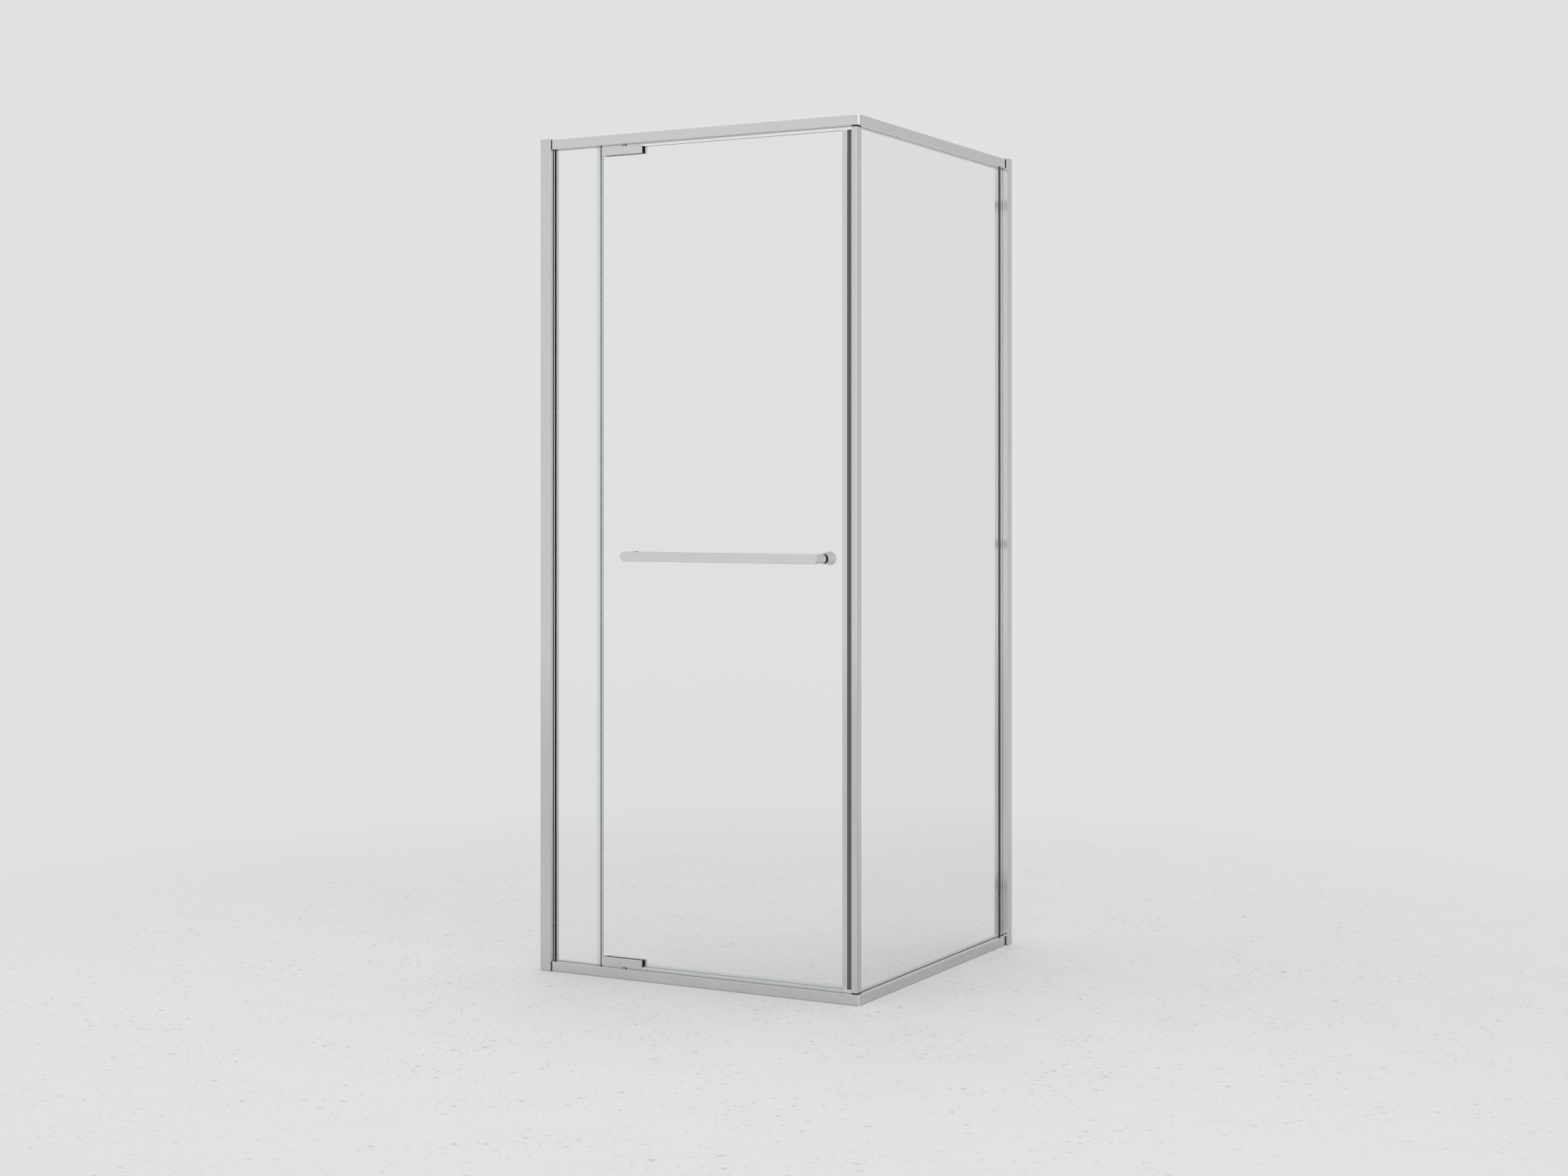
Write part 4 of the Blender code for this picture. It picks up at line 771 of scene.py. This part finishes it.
class ENCLOSURE_OT_hinges(Operator):
    """Make the hinge plates and their screws, and finish the gaskets, pins and bushes"""

    bl_idname = "enclosure.hinges"
    bl_label = "Hinges"

    def execute(self, context):
        sizes = context.scene.enclosure_sizes
        for place in ("bottom", "top"):
            self.make_outer_plate(place, sizes)
            self.make_inner_plate(place, sizes)
            for side in ("left", "right"):
                self.make_screw(f"hinge_{place}_screw_{side}", sizes)
            dress_node(f"hinge_{place}_outer_gasket", "gasket_rubber")
            dress_node(f"hinge_{place}_inner_gasket", "glazing_tape")
            dress_node(f"pivot_pin_{place}", "turned_steel")
            dress_node(f"pivot_bush_{place}", "turned_steel")
        return {"FINISHED"}

    def make_outer_plate(self, place, sizes):
        """Make the plate outside the glass, with its boss drawn out of its back."""
        node = f"hinge_{place}_outer_plate"
        low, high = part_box(node)
        plate_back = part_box(f"hinge_{place}_outer_gasket")[0].y - sizes.fit_gap
        shape = brick(low, Vector((high.x, plate_back, high.z)))
        round_edges(shape, shape.edges[:], sizes.plate_edge, sizes.edge_segments)
        if place == "bottom":
            boss_low, boss_high = low.z + sizes.plate_edge, low.z + sizes.boss_height
        else:
            boss_low, boss_high = high.z - sizes.boss_height, high.z - sizes.plate_edge
        half = sizes.boss_length / 2
        cuts = (((PIVOT.x - half, 0, 0), AXES["X"]), ((PIVOT.x + half, 0, 0), AXES["X"]),
                ((0, 0, boss_low), AXES["Z"]), ((0, 0, boss_high), AXES["Z"]))
        for point, normal in cuts:
            backs = [face for face in shape.faces if face.normal.y > FACING]
            rim = {item for face in backs for item in (*face.edges, *face.verts)}
            bmesh.ops.bisect_plane(shape, geom=backs + list(rim), plane_co=point, plane_no=normal)
        boss = [face for face in shape.faces
                if face.normal.y > FACING and abs(face.calc_center_median().x - PIVOT.x) < half
                and boss_low < face.calc_center_median().z < boss_high]
        grown = bmesh.ops.extrude_face_region(shape, geom=boss)
        draw_out(shape, grown, (0, high.y - plate_back, 0))
        bmesh.ops.delete(shape, geom=boss, context="FACES")
        make_piece(f"hinge_{place}_front_block", shape, "door", ["chrome_plate"], [node])

    def make_inner_plate(self, place, sizes):
        """Make the plate inside the glass, with its free edge well rounded."""
        node = f"hinge_{place}_inner_plate"
        low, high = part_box(node)
        shape = brick(low, high)
        free_edge = Vector((low.x, high.y, high.z if place == "bottom" else low.z))
        round_edges(shape, edges_through(shape, [free_edge], "X"), sizes.plate_round, PLATE_SEGMENTS)
        sharp = [edge for edge in shape.edges if edge.calc_face_angle() > SHARP_ANGLE]
        round_edges(shape, sharp, sizes.plate_edge, sizes.edge_segments)
        make_piece(f"hinge_{place}_back_block", shape, "door", ["chrome_plate"], [node])

    def make_screw(self, node, sizes):
        """Make a flush screw with a hexagonal socket in its head."""
        low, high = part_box(node)
        middle = (low + high) / 2
        radius = (high.x - low.x) / 2
        face = high.y + sizes.fit_gap
        turn = Matrix.Rotation(QUARTER_TURN, 4, "X")
        shape = bmesh.new()
        here = Matrix.Translation((middle.x, face, middle.z)) @ turn
        rim = bmesh.ops.create_circle(shape, cap_ends=False, segments=SCREW_SEGMENTS, radius=radius,
                                      matrix=here)
        socket = bmesh.ops.create_circle(shape, cap_ends=False, segments=HEXAGON, radius=sizes.socket_radius,
                                         matrix=here)
        rings = {name: list({edge for vert in made["verts"] for edge in vert.link_edges})
                 for name, made in (("rim", rim), ("socket", socket))}
        bmesh.ops.triangle_fill(shape, edges=rings["rim"] + rings["socket"], use_beauty=True)
        for name, depth in (("socket", sizes.socket_depth), ("rim", face - low.y)):
            grown = bmesh.ops.extrude_edge_only(shape, edges=rings[name])
            moved = draw_out(shape, grown, (0, -depth, 0))
            ends = [item for item in grown["geom"] if isinstance(item, bmesh.types.BMEdge)
                    and all(vert in moved for vert in item.verts)]
            bmesh.ops.edgeloop_fill(shape, edges=ends)
        make_piece(node.replace("screw", "socket_screw"), shape, "door", ["turned_steel"], [node])


class ENCLOSURE_OT_handle(Operator):
    """Make the handle: bar, posts, washers, knob and cap"""

    bl_idname = "enclosure.handle"
    bl_label = "Handle"

    def execute(self, context):
        sizes = context.scene.enclosure_sizes
        self.make_bar(sizes)
        for side in ("left", "right"):
            self.make_post(side, sizes)
            for layer in ("outer", "inner"):
                self.make_washer(f"handle_{layer}_washer_{side}", sizes)
            dress_node(f"handle_stud_{side}", "turned_steel")
        self.make_end("handle_inner_knob", sizes.knob_foot, sizes)
        self.make_end("handle_inner_cap", sizes.cap_foot, sizes)
        return {"FINISHED"}

    def make_bar(self, sizes):
        """Make the flat bar: round its ends fully, then soften every edge of its two faces."""
        low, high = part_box("handle_bar")
        radius = (high.z - low.z) / 2
        shape = brick(low, high)
        ends = [edge for edge in shape.edges
                if abs((edge.verts[0].co - edge.verts[1].co).normalized().y) > FACING]
        round_edges(shape, ends, radius * END_ROUND_SHARE, BAR_SEGMENTS)
        bmesh.ops.remove_doubles(shape, verts=shape.verts, dist=ON_LINE)
        rims = [edge for edge in shape.edges
                if len({round(abs(face.normal.y)) for face in edge.link_faces}) == 2]
        round_edges(shape, rims, sizes.handle_edge, sizes.edge_segments)
        make_piece("handle_flat_bar", shape, "door", ["chrome_plate"], ["handle_bar"])

    def turned_piece(self, name, node, profile, finish, slot, sizes):
        """Turn a profile along the handle's fixing, from the door's front inwards."""
        low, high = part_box(node)
        start = Vector(((low.x + high.x) / 2, low.y, (low.z + high.z) / 2))
        shape = turn_profile(profile, start, AXES["Y"], sizes.turned_segments)
        make_piece(name, shape, "door", [finish], [node])

    def make_post(self, side, sizes):
        """Make a post with softened ends, bored for its stud."""
        node = f"handle_post_{side}"
        radius, length = turned_size(node)
        bore = sizes.stud_bore
        edge = sizes.handle_edge / 2
        profile = [(bore, length), (radius - edge, length), (radius, length - edge), (radius, edge),
                   (radius - edge, 0), (bore, 0)]
        self.turned_piece(f"handle_standoff_{side}", node, profile, "chrome_plate", "chrome", sizes)

    def make_washer(self, node, sizes):
        """Make a soft washer; the outer one has a sleeve through the glass."""
        radius, length = turned_size(node)
        bore = sizes.stud_bore
        edge = sizes.handle_edge / 3
        flange = length
        if "outer" in node:
            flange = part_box("door_glass")[0].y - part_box(node)[0].y - sizes.fit_gap
        sleeve = sizes.handle_hole - sizes.fit_gap
        tail = [(bore, length), (sleeve, length), (sleeve, flange)] if flange < length else [(bore, length)]
        profile = [*tail, (radius - edge, flange), (radius, flange - edge), (radius, edge),
                   (radius - edge, 0), (bore, 0)]
        ring = node.replace("washer", "ring")
        self.turned_piece(ring, node, profile, "gasket_rubber", "black_rubber", sizes)

    def make_end(self, node, foot_radius, sizes):
        """Make a knob or cap that flares from its foot to its softened end."""
        radius, length = turned_size(node)
        edge = sizes.handle_edge
        foot_edge = edge / 3
        turns = [QUARTER_TURN * step / ARC_STEPS for step in range(ARC_STEPS + 1)]
        arc = [(radius - edge + edge * math.sin(turn), length - edge + edge * math.cos(turn))
               for turn in turns]
        profile = [(0, length), *arc, (foot_radius, foot_edge), (foot_radius - foot_edge, 0), (0, 0)]
        self.turned_piece(node.replace("inner", "inside"), node, profile, "chrome_plate", "chrome", sizes)


class ENCLOSURE_OT_stage(Operator):
    """Make the floor, the background, the lamps and the camera"""

    bl_idname = "enclosure.stage"
    bl_label = "Stage"

    def execute(self, context):
        stage = context.scene.enclosure_stage
        context.scene.view_settings.view_transform = "Standard"
        self.make_world(context, stage)
        self.make_floor(context, stage)
        self.make_lamps(context, stage)
        self.make_camera(context, stage)
        return {"FINISHED"}

    def ray_kinds(self, shader):
        """Values of 1 for rays that reach the shader straight, by way of a mirror and only through glass."""
        path = shader.node("ShaderNodeLightPath")
        camera, mirrors, through, diffuse = [Value(shader, path.outputs[name]) for name in
                                             ("Is Camera Ray", "Glossy Depth", "Is Transmission Ray",
                                              "Diffuse Depth")]
        glossy = mirrors.at_most(1) * (1 - diffuse.at_most(1))
        return camera, glossy, through * (1 - glossy)

    def make_world(self, context, stage):
        """Light the object evenly, show the backdrop behind it and give the metal a soft room to mirror."""
        shader = Shader(bpy.data.worlds.new("soft_room"))
        camera, glossy, through = self.ray_kinds(shader)
        direction = shader.node("ShaderNodeTexCoord").outputs["Generated"]
        swing = shader.value("ShaderNodeVectorMath", {"operation": "DOT_PRODUCT"},
                             {0: direction, 1: BRIGHT_SIDE}, output="Value")
        light = shader.node("ShaderNodeBackground", None,
                            {"Color": (1.0, 1.0, 1.0, 1.0), "Strength": stage.ambient})
        view = shader.node("ShaderNodeBackground", None, {"Color": (*stage.backdrop, 1.0), "Strength": 1.0})
        mirror = shader.node("ShaderNodeBackground", None,
                             {"Color": (1.0, 1.0, 1.0, 1.0),
                              "Strength": stage.mirrored + swing * stage.mirrored_swing})
        seen = shader.node("ShaderNodeMixShader", None, {0: glossy, 1: view.outputs[0], 2: mirror.outputs[0]})
        direct = (camera + glossy + through).at_most(1)
        mixed = shader.node("ShaderNodeMixShader", None, {0: direct, 1: light.outputs[0], 2: seen.outputs[0]})
        context.scene.world = shader.finish(mixed.outputs[0])

    def make_floor(self, context, stage):
        """Make a round floor with small flecks that fades into the backdrop away from the object."""
        shader = Shader(bpy.data.materials.new("pale_floor"))
        camera, glossy, through = self.ray_kinds(shader)
        cluster_swing = 0.16
        fine_limit, fine_gain = 0.65, 8
        coarse_limit, coarse_gain = 0.62, 10
        fleck_strength = 0.36
        # Painted shade: over this span the floor's colour goes from lighter in front of the object to darker
        # behind it, for the light that falls off towards the back
        painted_shade_start, painted_shade_end = CORNER.y - 0.8, CORNER.y + 0.6
        outside_edge, inside_edge = CORNER.y - 0.05, CORNER.y + 0.1
        darkest, lightest = 0.97, 1.07
        mottle = shader.noise((7.0, 7.0, 7.0), detail=6.0, rough=0.65)
        clusters = shader.noise((5.0, 5.0, 5.0), detail=2.0) * cluster_swing - cluster_swing / 2
        fine_flecks = shader.noise((110.0, 160.0, 110.0), detail=1.5)
        coarse_flecks = shader.noise((44.0, 62.0, 44.0), detail=3.0, rough=0.6)
        speck = ((fine_flecks - fine_limit + clusters).at_least(0) * fine_gain
                 + (coarse_flecks - coarse_limit + clusters).at_least(0) * coarse_gain).at_most(1)
        place = shader.node("ShaderNodeTexCoord").outputs["Object"]
        distance = shader.value("ShaderNodeVectorMath", {"operation": "LENGTH"}, {0: place}, output="Value")
        split = shader.node("ShaderNodeSeparateXYZ", None, {0: place})
        # Painted shade: the random mottle is mixed with a lighter tone towards the front
        depth = shader.rise(split.outputs[1], painted_shade_start, painted_shade_end, "LINEAR")
        tone = shader.blend((mottle * 0.7 + (1 - depth) * 0.65 - 0.15).at_least(0).at_most(1),
                            shade(stage.floor, darkest), shade(stage.floor, lightest))
        behind = shader.rise(split.outputs[1], outside_edge, inside_edge)
        # Painted shade: where the metal mirrors the floor, the floor's colour is darkened by this share, more
        # so behind the front; the flecks are the floor's own dark marks
        mirror_painted_shade = 1 - stage.floor_mirrored + behind * (stage.floor_mirrored - stage.floor_behind)
        flecks_and_mirror_shade = shader.node("ShaderNodeMix", {"data_type": "RGBA"},
                           {"Factor": (speck * fleck_strength + glossy * mirror_painted_shade).at_most(1), "A": tone,
                            "B": (0.0, 0.0, 0.0, 1.0)})
        lit = shader.node("ShaderNodeBsdfPrincipled", None,
                          {"Base Color": flecks_and_mirror_shade.outputs["Result"], "Roughness": 0.6})
        far_out = shader.rise(distance, stage.fade_end, stage.floor_radius)
        # Painted shade: the metal mirrors the far floor as a darker copy of the backdrop, except far off in
        # front
        dimmed = glossy * (1 - far_out * (1 - behind))
        far_tone = shader.blend(dimmed, stage.backdrop, shade(stage.backdrop, stage.far_mirrored))
        far = shader.node("ShaderNodeEmission", None, {"Color": far_tone, "Strength": 1.0})
        fade = shader.rise(distance, stage.fade_start, stage.fade_end)
        surface = shader.node("ShaderNodeMixShader", None,
                              {0: fade * (camera + glossy + through).at_most(1), 1: lit.outputs[0],
                               2: far.outputs[0]})
        material = shader.finish(surface.outputs[0])
        shape = bmesh.new()
        bmesh.ops.create_circle(shape, cap_ends=True, segments=FLOOR_SEGMENTS, radius=stage.floor_radius)
        mesh = bpy.data.meshes.new("floor")
        shape.to_mesh(mesh)
        shape.free()
        mesh.materials.append(material)
        floor = bpy.data.objects.new("floor", mesh)
        floor.location.z = -FLOOR_DROP
        context.scene.collection.objects.link(floor)

    def make_lamps(self, context, stage):
        """Hang a wide soft lamp overhead, and a strip at the right front for the mitred edges to catch."""
        powers = {"strip": stage.strip_power, "top": stage.top_power}
        for name, (place, size, aim) in LAMPS.items():
            data = bpy.data.lights.new(name, "AREA")
            data.shape = "RECTANGLE"
            data.size, data.size_y = size
            data.energy = powers[name]
            lamp = bpy.data.objects.new(name, data)
            lamp.location = place
            lamp.rotation_euler = (Vector(place) - Vector(aim)).to_track_quat("Z", "Y").to_euler()
            context.scene.collection.objects.link(lamp)

    def make_camera(self, context, stage):
        """Set the level camera where the photograph was taken, shifted to its framing."""
        data = bpy.data.cameras.new("photo_camera")
        data.lens = stage.lens
        data.shift_y = (stage.horizon_row - PHOTO_SIZE.y / 2) / PHOTO_SIZE.x
        camera = bpy.data.objects.new("photo_camera", data)
        camera.location = CORNER + Vector(stage.camera_place)
        camera.rotation_euler = (QUARTER_TURN, 0.0, stage.camera_turn)
        context.scene.collection.objects.link(camera)
        context.scene.camera = camera


OPERATORS = (ENCLOSURE_OT_stage, ENCLOSURE_OT_rails, ENCLOSURE_OT_uprights, ENCLOSURE_OT_panes,
             ENCLOSURE_OT_hinges, ENCLOSURE_OT_handle)


class ENCLOSURE_PT_pieces(Panel):
    """List the operators and the values that they read"""

    bl_idname = "ENCLOSURE_PT_pieces"
    bl_label = "Shower Enclosure"
    bl_space_type = "VIEW_3D"
    bl_region_type = "UI"
    bl_category = "Enclosure"

    def draw(self, context):
        for operator in OPERATORS:
            self.layout.operator(operator.bl_idname)
        for group in ("enclosure_sizes", "enclosure_finishes", "enclosure_stage"):
            values = getattr(context.scene, group)
            column = self.layout.column(align=True)
            for name in values.__annotations__:
                column.prop(values, name)


CLASSES = (EnclosureSizes, EnclosureFinishes, EnclosureStage, *OPERATORS, ENCLOSURE_PT_pieces)


def register():
    for item in CLASSES:
        bpy.utils.register_class(item)
    bpy.types.Scene.enclosure_sizes = PointerProperty(type=EnclosureSizes)
    bpy.types.Scene.enclosure_finishes = PointerProperty(type=EnclosureFinishes)
    bpy.types.Scene.enclosure_stage = PointerProperty(type=EnclosureStage)


def unregister():
    del bpy.types.Scene.enclosure_stage
    del bpy.types.Scene.enclosure_finishes
    del bpy.types.Scene.enclosure_sizes
    for item in reversed(CLASSES):
        bpy.utils.unregister_class(item)


def main():
    """Build every piece."""
    register()
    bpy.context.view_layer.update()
    for operator in OPERATORS:
        group, name = operator.bl_idname.split(".")
        getattr(getattr(bpy.ops, group), name)()


if __name__ == "__main__":
    main()
